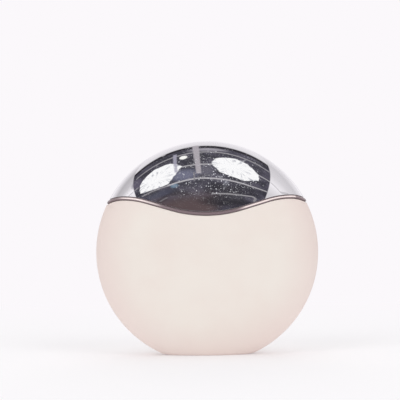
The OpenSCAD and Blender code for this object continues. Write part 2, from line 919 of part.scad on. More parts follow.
front_cover();
rear_cover();
trim_ring();
front_electrode();
rear_electrode();
electrode_divider();
head_carrier();
head_seal();
head_screws();
inner_frame();
frame_screws();
main_board();
board_screws();
board_chips();
board_sockets();
tact_switch();
switch_plunger();
power_button();
button_bezel();
button_seal();
light_guide();
status_leds();
battery_cell();
battery_tape();
battery_lead();
port_board();
port_screws();
port_shell();
port_tongue();
port_lead();
motor_can();
motor_shaft();
motor_weight();
motor_saddle();
motor_lead();
front_contact();
rear_contact();
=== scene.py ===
"""Dressed model of a round facial toning device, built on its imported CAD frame.

The device is a pebble that stands on a flat base: two soft-touch covers, a wave-shaped bead and a
polished head of two electrodes. Lengths are in metres. X is the width, -Y the plain face, +Y the
face with the button, and Z is up.
"""
from __future__ import annotations

import json
import logging
import math
from dataclasses import dataclass, field
from enum import Enum
from typing import Callable, Iterable, Sequence

import bpy
from mathutils import Matrix, Vector


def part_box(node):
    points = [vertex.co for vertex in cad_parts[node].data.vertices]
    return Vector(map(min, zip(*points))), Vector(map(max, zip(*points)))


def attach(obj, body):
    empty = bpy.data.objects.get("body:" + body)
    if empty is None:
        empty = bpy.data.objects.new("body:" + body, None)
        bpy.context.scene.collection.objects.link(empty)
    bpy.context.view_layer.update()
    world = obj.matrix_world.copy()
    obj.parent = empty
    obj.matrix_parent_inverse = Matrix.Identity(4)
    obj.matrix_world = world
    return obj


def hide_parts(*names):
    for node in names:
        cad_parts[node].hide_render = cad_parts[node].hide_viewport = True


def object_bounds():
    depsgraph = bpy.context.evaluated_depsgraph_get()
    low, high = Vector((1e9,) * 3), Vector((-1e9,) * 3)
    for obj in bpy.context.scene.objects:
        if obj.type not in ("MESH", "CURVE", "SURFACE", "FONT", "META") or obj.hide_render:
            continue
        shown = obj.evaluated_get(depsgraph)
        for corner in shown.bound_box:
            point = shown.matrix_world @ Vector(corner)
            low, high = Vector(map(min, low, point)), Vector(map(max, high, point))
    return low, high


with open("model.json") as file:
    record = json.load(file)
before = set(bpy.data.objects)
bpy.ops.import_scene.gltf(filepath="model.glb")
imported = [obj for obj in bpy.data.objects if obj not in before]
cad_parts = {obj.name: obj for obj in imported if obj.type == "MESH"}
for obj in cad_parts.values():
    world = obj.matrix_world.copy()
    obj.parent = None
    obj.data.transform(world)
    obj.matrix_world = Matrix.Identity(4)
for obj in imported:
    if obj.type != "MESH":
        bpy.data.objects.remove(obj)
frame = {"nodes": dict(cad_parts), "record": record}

CAD_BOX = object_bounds()
LOG = logging.getLogger("facial_device")
MM = 0.001
WELD = 1e-7
HALVINGS = 40
BASE_CUT = 3.4 * MM

Column = list[Vector]
Colour = tuple[float, float, float]
Stops = Sequence[tuple[float, Colour]]
Span = tuple[float, float]
Spot = tuple[float, float]
Profile = list[Spot]
Inputs = dict[str | int, object]


class Side(Enum):
    """Face of the device that a piece belongs to, as the sign of its Y."""

    PLAIN = -1
    BUTTON = 1


def rgb(red: int, green: int, blue: int) -> Colour:
    """Turn a colour written as display values from 0 to 255 into linear values."""
    linear = []
    for value in (red, green, blue):
        c = value / 255
        linear.append(c / 12.92 if c <= 0.04045 else ((c + 0.055) / 1.055) ** 2.4)
    return tuple(linear)


# ------------------------------------------------------------------ shader maths


def arithmetic(operation: str, swapped: bool = False) -> Callable[[Socket, Socket | float], Socket]:
    """Make a Socket method of one Math node, with the other value as its first input if swapped."""
    def join(socket: Socket, other: Socket | float) -> Socket:
        """Add one Math node."""
        pair = (other, socket) if swapped else (socket, other)
        return socket.graph.out("ShaderNodeMath", {"operation": operation}, dict(enumerate(pair)))

    return join


class Socket:
    """A shader output on which ordinary arithmetic can be written."""

    __add__ = arithmetic("ADD")
    __radd__ = arithmetic("ADD", swapped=True)
    __sub__ = arithmetic("SUBTRACT")
    __rsub__ = arithmetic("SUBTRACT", swapped=True)
    __mul__ = arithmetic("MULTIPLY")
    __truediv__ = arithmetic("DIVIDE")
    power = arithmetic("POWER")
    lowest = arithmetic("MINIMUM")
    highest = arithmetic("MAXIMUM")
    swing = arithmetic("ARCTAN2")

    def __init__(self, graph: Graph, link: bpy.types.NodeSocket) -> None:
        """Keep the output and the graph that it belongs to."""
        self.graph = graph
        self.link = link

    def __abs__(self) -> Socket:
        """Take the size of this value without its sign."""
        return self.graph.out("ShaderNodeMath", {"operation": "ABSOLUTE"}, {0: self})

    def hypot(self, other: Socket) -> Socket:
        """Give the length of two values at right angles."""
        return (self.power(2.0) + other.power(2.0)).power(0.5)

    def rise(self, low: float, high: float) -> Socket:
        """Go smoothly from 0 at low to 1 at high."""
        inputs = {"Value": self, "From Min": low, "From Max": high}
        return self.graph.out("ShaderNodeMapRange", {"interpolation_type": "SMOOTHSTEP"}, inputs)

    def band(self, low: float, high: float, soft: float) -> Socket:
        """Give 1 between low and high, with soft edges of the given width."""
        end = self.rise(high - soft / 2, high + soft / 2)
        return self.rise(low - soft / 2, low + soft / 2) * (1 - end)


class Graph:
    """A node tree that is filled by one node call."""

    def __init__(self, tree: bpy.types.NodeTree) -> None:
        """Empty the tree."""
        self.tree = tree
        tree.nodes.clear()

    def node(
        self, kind: str, settings: Inputs | None = None, inputs: Inputs | None = None
    ) -> bpy.types.Node:
        """Add one node.

        Args:
            kind: Blender's type name of the node.
            settings: the node's own properties, set first; "stops" holds a ramp's stops.
            inputs: a value, or a Socket to link, for each named or numbered input.

        Returns:
            The new node.
        """
        node = self.tree.nodes.new(kind)
        for name, value in (settings or {}).items():
            if name == "stops":
                self._set_stops(node.color_ramp, value)
            else:
                setattr(node, name, value)
        for name, value in (inputs or {}).items():
            if isinstance(value, Socket):
                self.tree.links.new(value.link, node.inputs[name])
            elif isinstance(value, tuple) and len(value) == 3 and node.inputs[name].type == "RGBA":
                node.inputs[name].default_value = (*value, 1.0)
            else:
                node.inputs[name].default_value = value
        return node

    @staticmethod
    def _set_stops(ramp: bpy.types.ColorRamp, stops: Stops) -> None:
        """Give a colour ramp its stops."""
        while len(ramp.elements) < len(stops):
            ramp.elements.new(1.0)
        for element, (place, colour) in zip(ramp.elements, stops):
            element.position = place
            element.color = (*colour, 1.0)

    def out(
        self, kind: str, settings: Inputs | None = None, inputs: Inputs | None = None,
        output: str | int = 0,
    ) -> Socket:
        """Add one node and give one of its outputs."""
        return Socket(self, self.node(kind, settings, inputs).outputs[output])

    def mix(self, factor: Socket | float, low: Socket | Colour, high: Socket | Colour) -> Socket:
        """Mix two colours."""
        return self.out("ShaderNodeMix", {"data_type": "RGBA"}, {0: factor, 6: low, 7: high}, 2)

    def own(self) -> tuple[Socket, Socket, Socket]:
        """Give the object's own X, Y and Z."""
        return self.parts(self.out("ShaderNodeTexCoord", output="Object"))

    def place(self, scale: Colour = (1.0, 1.0, 1.0), turn: Colour = (0.0, 0.0, 0.0)) -> Socket:
        """Give the object's own coordinates, stretched and turned."""
        own = self.out("ShaderNodeTexCoord", output="Object")
        inputs = {"Vector": own, "Scale": scale, "Rotation": turn}
        return self.out("ShaderNodeMapping", None, inputs)

    def ray(self, kind: str) -> Socket:
        """Give 1 for rays of a kind, such as Camera or Glossy."""
        return self.out("ShaderNodeLightPath", output=f"Is {kind} Ray")

    def texture(self, vector: Socket, scale: float, detail: float) -> Socket:
        """Give a noise over any coordinates."""
        inputs = {"Vector": vector, "Scale": scale, "Detail": detail}
        return self.out("ShaderNodeTexNoise", None, inputs)

    def noise(self, grain: float, detail: float = 2.0, vector: Socket | None = None) -> Socket:
        """Give a noise over the object whose features are about grain metres across."""
        return self.texture(vector or self.place(), 1 / grain, detail)

    def specks(self, spacing: float, size: float) -> Socket:
        """Give 1 on round specks in cells of spacing metres, each up to size metres across."""
        inputs = {"Vector": self.place(), "Scale": 1 / spacing}
        cell = self.node("ShaderNodeTexVoronoi", None, inputs)
        distance, hue = (Socket(self, cell.outputs[name]) for name in ("Distance", "Color"))
        lot = self.out("ShaderNodeSeparateColor", None, {0: hue})
        return 1 - (distance / (lot * (size / spacing / 2) + 0.001)).rise(0.6, 1.0)

    def parts(self, vector: Socket) -> tuple[Socket, Socket, Socket]:
        """Split a vector into its three values."""
        node = self.node("ShaderNodeSeparateXYZ", None, {0: vector})
        return tuple(Socket(self, node.outputs[i]) for i in range(3))

    def ramp(self, value: Socket, low: float, high: float, stops: Stops) -> Socket:
        """Give a colour from stops whose places run from low to high."""
        placed = [((place - low) / (high - low), colour) for place, colour in stops]
        share = (value - low) / (high - low)
        return self.out("ShaderNodeValToRGB", {"stops": placed}, {0: share})

    def bump(self, height: Socket, depth: float) -> Socket:
        """Turn a height from 0 to 1 into a normal, with the given depth in metres."""
        inputs = {"Strength": 1.0, "Distance": depth, "Height": height}
        return self.out("ShaderNodeBump", None, inputs)

    def glowing(self, colour: Socket | Colour, glow: Colour, strength: Socket | float) -> Socket:
        """Give a matt surface that also glows a little."""
        matt = self.out("ShaderNodeBsdfDiffuse", None, {"Color": colour})
        light = self.out("ShaderNodeEmission", None, {"Color": glow, "Strength": strength})
        return self.out("ShaderNodeAddShader", None, {0: matt, 1: light})


class Finish:
    """A finish that becomes a material with one Principled shader."""

    def inputs(self, graph: Graph) -> Inputs:
        """Give the shader's inputs, made in the given graph."""
        raise NotImplementedError

    def material(self, name: str) -> bpy.types.Material:
        """Make the material under the given name."""
        material = bpy.data.materials.new(name)
        material.use_nodes = True
        graph = Graph(material.node_tree)
        shader = graph.out("ShaderNodeBsdfPrincipled", None, self.inputs(graph))
        graph.node("ShaderNodeOutputMaterial", None, {"Surface": shader})
        return material


# ---------------------------------------------------------------------- finishes


@dataclass(frozen=True)
class SoftTouch(Finish):
    """Warm matt paint of the covers and the button, with a fine velvet grain and a rosier, darker
    rim that is painted shade.
    """

    colour: Colour = rgb(236, 229, 221)
    deeper: Colour = rgb(233, 222, 214)
    cloud: float = 22 * MM
    cloud_share: float = 0.7
    # Rosier, darker tone of the painted shade towards the rim.
    rim: Colour = rgb(231, 211, 206)
    rim_shade_share: float = 0.6
    rim_shade_reach: Span = (26 * MM, 44 * MM)
    middle: float = 38.6 * MM
    grain: float = 0.22 * MM
    relief: float = 0.006 * MM
    lint: Colour = rgb(214, 198, 188)
    lint_share: float = 0.35
    lint_spacing: float = 2.6 * MM
    lint_size: float = 0.16 * MM
    lint_patch: float = 9 * MM
    roughness: float = 0.52
    grain_roughness: float = 0.16
    cloud_roughness: float = 0.05
    gloss: float = 0.4

    def paint(self, graph: Graph) -> tuple[Socket, Socket, Socket]:
        """Give the clouds, the grain and the tone that they make together."""
        clouds = graph.noise(self.cloud, 3.0).rise(0.3, 0.7)
        grain = graph.noise(self.grain, 3.0)
        share = clouds * self.cloud_share + grain * (1 - self.cloud_share)
        return clouds, grain, graph.mix(share, self.colour, self.deeper)

    def inputs(self, graph: Graph) -> Inputs:
        """Give the shader's inputs."""
        clouds, grain, tone = self.paint(graph)
        patches = graph.noise(self.lint_patch).rise(0.5, 0.62)
        lint = graph.specks(self.lint_spacing, self.lint_size) * patches
        # Painted shade: the paint turns rosier and darker with distance from the pebble's axis.
        x, _, z = graph.own()
        rim = x.hypot(z - self.middle).rise(*self.rim_shade_reach)
        tone = graph.mix(rim * self.rim_shade_share, tone, self.rim)
        uneven = (grain - 0.5) * self.grain_roughness + clouds * self.cloud_roughness
        return {
            "Base Color": graph.mix(lint * self.lint_share, tone, self.lint),
            "Roughness": self.roughness + uneven,
            "Specular IOR Level": self.gloss,
            "Normal": graph.bump(grain, self.relief),
        }


@dataclass(frozen=True)
class MarkedTouch(SoftTouch):
    """The covers' paint with a plain power symbol printed on it."""

    ink: Colour = rgb(176, 158, 151)
    ink_share: float = 0.85
    ink_smoother: float = 0.12
    radius: float = 1.65 * MM
    stroke: float = 0.34 * MM
    gap: float = 0.62 * MM
    bar: Span = (0.45 * MM, 2.2 * MM)
    soft: float = 0.05 * MM

    def symbol(self, graph: Graph) -> Socket:
        """Give 1 on the symbol: an open ring with a short upright bar in its gap."""
        x, _, z = graph.own()
        up, half, soft = z - self.middle, self.stroke / 2, self.soft
        ring = x.hypot(up).band(self.radius - half, self.radius + half, soft)
        gap = (1 - abs(x).rise(self.gap - soft, self.gap + soft)) * up.rise(0.0, soft)
        bar = (1 - abs(x).rise(half - soft / 2, half + soft / 2)) * up.band(*self.bar, soft)
        return (ring * (1 - gap)).highest(bar)

    def inputs(self, graph: Graph) -> Inputs:
        """Give the shader's inputs."""
        _, grain, tone = self.paint(graph)
        symbol = self.symbol(graph)
        uneven = (grain - 0.5) * self.grain_roughness - symbol * self.ink_smoother
        return {
            "Base Color": graph.mix(symbol * self.ink_share, tone, self.ink),
            "Roughness": self.roughness + uneven,
            "Specular IOR Level": self.gloss,
            "Normal": graph.bump(grain, self.relief),
        }


@dataclass(frozen=True)
class MirrorMetal(Finish):
    """Polished plating with a thin film of haze, dust, faint smears and hairline marks."""

    colour: Colour = (0.955, 0.95, 0.96)
    roughness: float = 0.012
    smear: float = 11 * MM
    smear_roughness: float = 0.03
    hairline: float = 0.7 * MM
    hairline_roughness: float = 0.02
    film: float = 0.03
    swell: float = 7 * MM
    swell_relief: float = 0.004 * MM
    dust: Colour = (0.86, 0.87, 0.96)
    dust_share: float = 0.75
    dust_cover: float = 0.85
    dust_roughness: float = 0.5
    dot_spacing: float = 0.92 * MM
    dot_size: float = 0.6 * MM
    dot_share: float = 1.15
    grit: float = 0.6 * MM
    grit_share: float = 0.6
    patch: float = 12 * MM
    patch_share: float = 0.25
    heart_share: float = 0.65
    thinnest: float = 0.05
    dust_middle: Span = (3 * MM, 68.5 * MM)
    dust_reach: Span = (4 * MM, 21 * MM)
    dust_foot: Span = (56.5 * MM, 63 * MM)
    foot_loss: float = 0.7
    dust_top: Span = (71 * MM, 76 * MM)
    top_loss: float = 0.4
    rear_loss: float = 17 * MM

    def dust_depth(self, graph: Graph) -> Socket:
        """Give how thick the dust lies, which is most on the middle of the plain face."""
        x, y, z = graph.own()
        away = (x - self.dust_middle[0]).hypot(z - self.dust_middle[1])
        away = away + y.rise(-2 * MM, 2 * MM) * self.rear_loss
        patches = graph.noise(self.patch, 3.0).rise(0.4, 0.62)
        heart = (1 - away.rise(*self.dust_reach)) * self.heart_share
        depth = self.thinnest + heart + patches * self.patch_share
        foot = 1 - self.foot_loss + z.rise(*self.dust_foot) * self.foot_loss
        return depth * foot * (1 - z.rise(*self.dust_top) * self.top_loss)

    def inputs(self, graph: Graph) -> Inputs:
        """Give the shader's inputs."""
        depth = self.dust_depth(graph)
        dots = graph.specks(self.dot_spacing, self.dot_size)
        grit = graph.noise(self.grit, 3.0).rise(0.58, 0.7)
        dust = (dots * self.dot_share + grit * self.grit_share) * depth * self.dust_share
        slanted = graph.place((0.12, 1.0, 1.0), (0.0, 0.5, 0.0))
        hairlines = graph.noise(self.hairline, 2.0, slanted).rise(0.6, 0.8)
        smear = graph.noise(self.smear, 4.0).rise(0.45, 0.75)
        film = (smear * 0.6 + hairlines * 0.3 + depth * 0.7) * self.film
        dull = smear * self.smear_roughness + hairlines * self.hairline_roughness
        return {
            "Base Color": graph.mix(dust, self.colour, self.dust),
            "Metallic": 1 - (dust * self.dust_cover).lowest(0.9) - film,
            "Roughness": self.roughness + dull + dust * self.dust_roughness,
            "Normal": graph.bump(graph.noise(self.swell, 1.0), self.swell_relief),
        }


@dataclass(frozen=True)
class BeadMetalPaintedLight(Finish):
    """Pale rose plating with painted light: a near-white crown that carries a painted highlight
    between edges of painted shade, painted glints along parts of its length, and painted dark
    reflection in the dip and where it turns the rim.

    The pattern follows the bead's own section through its UV map.
    """

    # Near-white crown: pale rose plating that also carries the painted highlight line along the
    # bead.
    crown: Colour = rgb(255, 240, 236)
    # Mauve colour of the painted dark reflection in the dip of the wave.
    painted_dip_reflection: Colour = rgb(172, 154, 158)
    # Colour of the painted shade along the bead's two edges, where its sides meet the seams.
    flank: Colour = rgb(126, 109, 113)
    crown_line: float = 0.519
    flank_shade_rise: Span = (0.075, 0.135)
    painted_dip_middle: float = -2.5 * MM
    painted_dip_reach: Span = (13 * MM, 18 * MM)
    # Stretches of X where the metallic drops, so that the pale crown shows as painted highlights.
    painted_glints: tuple[Span, ...] = ((-29.5 * MM, -23 * MM), (13 * MM, 24 * MM), (30 * MM, 33 * MM))
    painted_glint_soft: float = 3 * MM
    # Where the painted dark reflection covers the bead's ends at the rim.
    left_end_dark_reflection: Span = (-34 * MM, -30 * MM)
    right_end_dark_reflection: Span = (33.1 * MM, 33.7 * MM)
    end_dark_reflection_share: float = 0.85
    mark: float = 0.35 * MM
    relief: float = 0.001 * MM
    roughness: float = 0.14
    # Low, so that the crown's near-white colour shows as a painted highlight.
    metallic: float = 0.38
    painted_dip_metal_gain: float = 0.12
    painted_dark_metal_loss: float = 0.1
    painted_glint_metal_loss: float = 0.26

    def inputs(self, graph: Graph) -> Inputs:
        """Give the shader's inputs."""
        around = graph.parts(graph.out("ShaderNodeUVMap", {"uv_map": "UVMap"}))[0]
        x = graph.own()[0]
        # Painted shade: 1 towards both edges of the bead's section.
        flank = abs(around - self.crown_line).rise(*self.flank_shade_rise)
        # Painted dark reflection: 1 towards both ends of the bead, where it turns the rim.
        ends = 1 - x.rise(*self.left_end_dark_reflection) + x.rise(*self.right_end_dark_reflection)
        marks = graph.noise(self.mark, 2.0)
        # Mask of all painted shade and painted dark reflection on the bead; it darkens the colour
        # and lowers the metallic.
        dull = flank.highest(ends * self.end_dark_reflection_share) * (0.85 + marks * 0.3)
        # Painted dark reflection: 1 in the dip, fading out towards the crests.
        painted_dip_reflection = 1 - abs(x - self.painted_dip_middle).rise(*self.painted_dip_reach)
        crown = graph.mix(painted_dip_reflection, self.crown, self.painted_dip_reflection)
        metallic = self.metallic + painted_dip_reflection * self.painted_dip_metal_gain - dull.lowest(1.0) * self.painted_dark_metal_loss
        # Painted highlights: less metallic on the given stretches, so the crown's pale colour
        # shows.
        for low, high in self.painted_glints:
            metallic = metallic - x.band(low, high, self.painted_glint_soft) * self.painted_glint_metal_loss
        return {
            "Base Color": graph.mix(dull, crown, self.flank),
            "Metallic": metallic,
            "Roughness": self.roughness + (marks - 0.5) * 0.08 + flank * 0.15,
            "Normal": graph.bump(marks, self.relief),
        }


@dataclass(frozen=True)
class Metal(Finish):
    """Machined, rolled or turned metal with fine marks along one direction."""

    colour: Colour
    tarnish: Colour
    roughness: float = 0.28
    mark: float = 0.15 * MM
    stretch: Colour = (1.0, 1.0, 1.0)
    relief: float = 0.004 * MM
    stain: float = 3 * MM

    def inputs(self, graph: Graph) -> Inputs:
        """Give the shader's inputs."""
        marks = graph.noise(self.mark, 2.0, graph.place(self.stretch))
        stain = graph.noise(self.stain, 3.0).rise(0.45, 0.8)
        return {
            "Base Color": graph.mix(stain * 0.6, self.colour, self.tarnish),
            "Metallic": 1.0,
            "Roughness": self.roughness + (marks - 0.5) * 0.2 + stain * 0.1,
            "Normal": graph.bump(marks, self.relief),
        }


@dataclass(frozen=True)
class Moulded(Finish):
    """Moulded plastic or rubber with an eroded texture and uneven gloss."""

    colour: Colour
    lighter: Colour
    roughness: float = 0.5
    grain: float = 0.25 * MM
    relief: float = 0.008 * MM
    gloss: float = 0.5
    flow: float = 5 * MM

    def inputs(self, graph: Graph) -> Inputs:
        """Give the shader's inputs."""
        grain = graph.noise(self.grain, 3.0)
        flow = graph.noise(self.flow, 2.0, graph.place((1.0, 1.0, 0.35))).rise(0.35, 0.7)
        return {
            "Base Color": graph.mix(flow * 0.6 + grain * 0.3, self.colour, self.lighter),
            "Roughness": self.roughness + (grain - 0.5) * 0.2 + flow * 0.08,
            "Specular IOR Level": self.gloss,
            "Normal": graph.bump(grain, self.relief),
        }


@dataclass(frozen=True)
class Laminate(Finish):
    """Circuit board with a green mask over copper tracks and bare tin pads."""

    mask: Colour = rgb(22, 84, 52)
    track: Colour = rgb(48, 124, 74)
    pad: Colour = rgb(205, 203, 194)
    pitch: float = 1.27 * MM
    relief: float = 0.02 * MM
    roughness: float = 0.42
    pad_metallic: float = 0.9

    def inputs(self, graph: Graph) -> Inputs:
        """Give the shader's inputs."""
        track = graph.out("ShaderNodeTexBrick", {"offset": 0.35, "squash": 0.6}, {
            "Vector": graph.place(turn=(math.pi / 2, 0.0, 0.0)), "Scale": 1 / (4 * self.pitch),
            "Mortar Size": 0.06, "Row Height": 0.22,
        }, "Fac")
        pads = graph.specks(2.4 * self.pitch, 0.9 * self.pitch).rise(0.4, 0.6)
        copper = graph.mix(track, self.mask, self.track)
        return {
            "Base Color": graph.mix(pads, copper, self.pad),
            "Metallic": pads * self.pad_metallic,
            "Roughness": self.roughness - pads * 0.14 + graph.noise(0.4 * MM) * 0.1,
            "Normal": graph.bump(track + pads, self.relief),
        }


@dataclass(frozen=True)
class Clear(Finish):
    """Milky light-guide resin that lets a little light through."""

    colour: Colour = rgb(242, 243, 240)
    roughness: float = 0.16
    milk: Colour = rgb(224, 227, 226)
    milk_grain: float = 0.6 * MM
    glow_reach: float = 0.8 * MM

    def inputs(self, graph: Graph) -> Inputs:
        """Give the shader's inputs."""
        haze = graph.noise(self.milk_grain, 3.0)
        return {
            "Base Color": graph.mix(haze, self.colour, self.milk),
            "Roughness": self.roughness + haze * 0.12,
            "Subsurface Weight": 0.3,
            "Subsurface Radius": (self.glow_reach,) * 3,
            "Coat Weight": 0.6,
            "Normal": graph.bump(haze, 0.004 * MM),
        }


RING_METAL = Metal(
    rgb(240, 221, 216), rgb(224, 198, 194), 0.1, 0.4 * MM, (1.0, 1.0, 0.3), 0.001 * MM
)
STEEL = Metal(rgb(196, 198, 202), rgb(150, 150, 152), 0.3)
NICKEL = Metal(rgb(206, 207, 210), rgb(168, 168, 170), 0.22, 0.12 * MM, (1.0, 1.0, 0.1))

SLOT_FINISHES: dict[str, Finish] = {
    "cover_plastic": SoftTouch(),
    "button_plastic": MarkedTouch(),
    "electrode_metal": MirrorMetal(),
    "trim_metal": RING_METAL,
    "divider_plastic": Moulded(rgb(70, 68, 72), rgb(96, 94, 98), 0.4),
    "carrier_plastic": Moulded(rgb(226, 224, 218), rgb(238, 236, 231), 0.45),
    "seal_rubber": Moulded(rgb(44, 44, 46), rgb(64, 64, 66), 0.75, 0.18 * MM, 0.015 * MM, 0.3),
    "screw_steel": STEEL,
    "frame_plastic": Moulded(rgb(62, 64, 68), rgb(84, 86, 90), 0.5),
    "board_laminate": Laminate(),
    "chip_plastic": Moulded(rgb(28, 28, 30), rgb(50, 50, 53), 0.42, 0.1 * MM),
    "socket_plastic": Moulded(rgb(226, 220, 202), rgb(238, 233, 220), 0.4),
    "plunger_plastic": Moulded(rgb(186, 52, 44), rgb(204, 78, 68), 0.38),
    "guide_plastic": Clear(),
    "led_plastic": Clear(rgb(244, 240, 206), 0.24),
    "cell_foil": Metal(
        rgb(186, 190, 198), rgb(206, 208, 212), 0.36, 0.5 * MM, (1.0, 1.0, 0.2), 0.02 * MM
    ),
    "tape_foam": Moulded(rgb(238, 238, 236), rgb(214, 214, 212), 0.9, 0.3 * MM, 0.06 * MM, 0.2),
    "lead_film": Moulded(rgb(196, 128, 44), rgb(216, 154, 70), 0.24, 0.6 * MM, 0.004 * MM),
    "port_metal": NICKEL,
    "motor_metal": NICKEL,
    "weight_metal": Metal(rgb(120, 118, 120), rgb(92, 90, 92), 0.46, 0.2 * MM, relief=0.02 * MM),
    "contact_brass": Metal(rgb(214, 176, 96), rgb(172, 130, 62), 0.26),
}
MATERIALS: dict[str, bpy.types.Material] = {}


def slot_material(slot: str) -> bpy.types.Material:
    """Give the material of a record slot, made once."""
    if slot not in MATERIALS:
        MATERIALS[slot] = SLOT_FINISHES[slot].material(slot)
    return MATERIALS[slot]


def finish_piece(piece: bpy.types.Object, body: str, slot: str) -> None:
    """Give a new piece its material and its body."""
    piece.data.materials.clear()
    piece.data.materials.append(slot_material(slot))
    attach(piece, body)
    LOG.info("%s: %d faces", piece.name, len(piece.data.polygons))


# ---------------------------------------------------------------------- workshop


class Workshop:
    """Makes meshes with Blender's own operators."""

    @staticmethod
    def clear_selection() -> None:
        """Leave edit mode and deselect everything."""
        if bpy.context.object and bpy.context.object.mode != "OBJECT":
            bpy.ops.object.mode_set(mode="OBJECT")
        bpy.ops.object.select_all(action="DESELECT")

    @classmethod
    def settle(cls, piece: bpy.types.Object, name: str, angle: float = 40.0) -> bpy.types.Object:
        """Weld a piece's doubles, turn its faces outwards and smooth it.

        Args:
            piece: the active mesh object.
            name: the piece's name.
            angle: edges sharper than this many degrees stay sharp.

        Returns:
            The same object.
        """
        piece.name = piece.data.name = name
        bpy.ops.object.mode_set(mode="EDIT")
        bpy.ops.mesh.select_all(action="SELECT")
        bpy.ops.mesh.remove_doubles(threshold=WELD)
        bpy.ops.mesh.dissolve_degenerate(threshold=WELD)
        bpy.ops.mesh.normals_make_consistent(inside=False)
        bpy.ops.object.mode_set(mode="OBJECT")
        bpy.ops.object.shade_smooth_by_angle(angle=math.radians(angle))
        return piece

    @classmethod
    def loft(cls, name: str, columns: Sequence[Column]) -> bpy.types.Object:
        """Lay a grid over columns of points that all have the same length."""
        cls.clear_selection()
        bpy.ops.mesh.primitive_grid_add(
            x_subdivisions=len(columns[0]) - 1, y_subdivisions=len(columns) - 1
        )
        piece = bpy.context.object
        points = [value for column in columns for point in column for value in point]
        piece.data.vertices.foreach_set("co", points)
        piece.data.update()
        return cls.settle(piece, name)

    @classmethod
    def turn(cls, name: str, profile: Profile, place: Matrix, steps: int = 96) -> bpy.types.Object:
        """Turn a closed profile round an axis, as on a lathe.

        Args:
            name: the piece's name.
            profile: (radius, height along the axis) of each corner, in order.
            place: puts the lathe's Z axis and origin where the piece belongs.
            steps: number of steps of the full turn.

        Returns:
            The turned object.
        """
        cls.clear_selection()
        bpy.ops.mesh.primitive_circle_add(vertices=len(profile), fill_type="NOTHING")
        piece = bpy.context.object
        for vertex, (radius, height) in zip(piece.data.vertices, profile):
            vertex.co = (radius, 0.0, height)
        bpy.ops.object.mode_set(mode="EDIT")
        bpy.ops.mesh.select_all(action="SELECT")
        bpy.ops.mesh.spin(steps=steps, angle=math.tau, center=(0, 0, 0), axis=(0, 0, 1))
        bpy.ops.object.mode_set(mode="OBJECT")
        piece.data.transform(place)
        return cls.settle(piece, name)

    @classmethod
    def cut(cls, piece: bpy.types.Object, cutter: bpy.types.Object) -> None:
        """Cut one object out of another and delete the cutter."""
        cls.clear_selection()
        piece.select_set(True)
        bpy.context.view_layer.objects.active = piece
        tool = piece.modifiers.new("cut", "BOOLEAN")
        tool.operation, tool.solver, tool.object = "DIFFERENCE", "EXACT", cutter
        bpy.ops.object.modifier_apply(modifier=tool.name)
        bpy.data.objects.remove(cutter, do_unlink=True)


def rounded(corners: Sequence[tuple[float, float, float]], steps: int = 5) -> Profile:
    """Round the corners of a closed outline.

    Args:
        corners: x, y and rounding radius of each corner.
        steps: number of steps round each corner.

    Returns:
        The outline's points.
    """
    points: Profile = []
    for i, (x, y, radius) in enumerate(corners):
        here = Vector((x, y))
        if radius == 0:
            points.append((x, y))
            continue
        before = (Vector(corners[i - 1][:2]) - here).normalized()
        after = (Vector(corners[(i + 1) % len(corners)][:2]) - here).normalized()
        half = before.angle(after) / 2
        middle = here + (before + after).normalized() * radius / math.sin(half)
        start = (here + before * radius / math.tan(half) - middle).normalized()
        end = (here + after * radius / math.tan(half) - middle).normalized()
        for step in range(steps + 1):
            points.append(tuple(middle + start.slerp(end, step / steps) * radius))
    return points


# -------------------------------------------------------------------- base forms


@dataclass(frozen=True)
class Pebble:
    """The device's overall form: a flattened ellipsoid that stands on a flat base."""

    radius: float
    half_thickness: float
    middle: float
    base_round: float = 0.8 * MM

    def lift(self, z: float, floor: float) -> float:
        """Press a height onto a floor, with a rounded transition."""
        above = z - floor
        if above >= self.base_round:
            return z
        if above <= -self.base_round:
            return floor
        return floor + (above + self.base_round) ** 2 / (4 * self.base_round)

    def normal(self, turn: float, slope: float, side: Side) -> Vector:
        """Give the outward normal where slope is 0 on the rim and a quarter turn at the middle."""
        out = math.cos(slope) * self.half_thickness
        up = math.sin(slope) * self.radius
        return Vector((out * math.cos(turn), side.value * up, out * math.sin(turn))).normalized()

    def point(self, turn: float, slope: float, depth: float, side: Side) -> Vector:
        """Give the point at a depth below the surface.

        Args:
            turn: angle round the pebble's axis, from +X towards +Z.
            slope: ellipse angle from the rim (0) to the middle of the face (a quarter turn).
            depth: distance below the surface, or negative where a bead stands proud.
            side: the face.

        Returns:
            The point.
        """
        reach = self.radius * math.cos(slope)
        point = Vector((
            reach * math.cos(turn),
            side.value * self.half_thickness * math.sin(slope),
            self.middle + reach * math.sin(turn),
        ))
        point -= self.normal(turn, slope, side) * depth
        point.z = self.lift(point.z, max(depth, 0.0))
        return point

    def slope_at(self, reach: float) -> float:
        """Give the slope at a distance from the pebble's axis."""
        return math.acos(min(reach / self.radius, 1.0))

    def slope_beside(self, gap: float) -> float:
        """Give the slope at a distance from the middle plane."""
        return math.asin(gap / self.half_thickness)

    def stretch(self, slope: float) -> float:
        """Give the length on the surface for each radian of slope."""
        return math.hypot(self.radius * math.sin(slope), self.half_thickness * math.cos(slope))


def halve(low: float, high: float, past: Callable[[float], bool]) -> float:
    """Close in, from both sides, on the value from which a test holds."""
    for _ in range(HALVINGS):
        half = (low + high) / 2
        low, high = (low, half) if past(half) else (half, high)
    return high


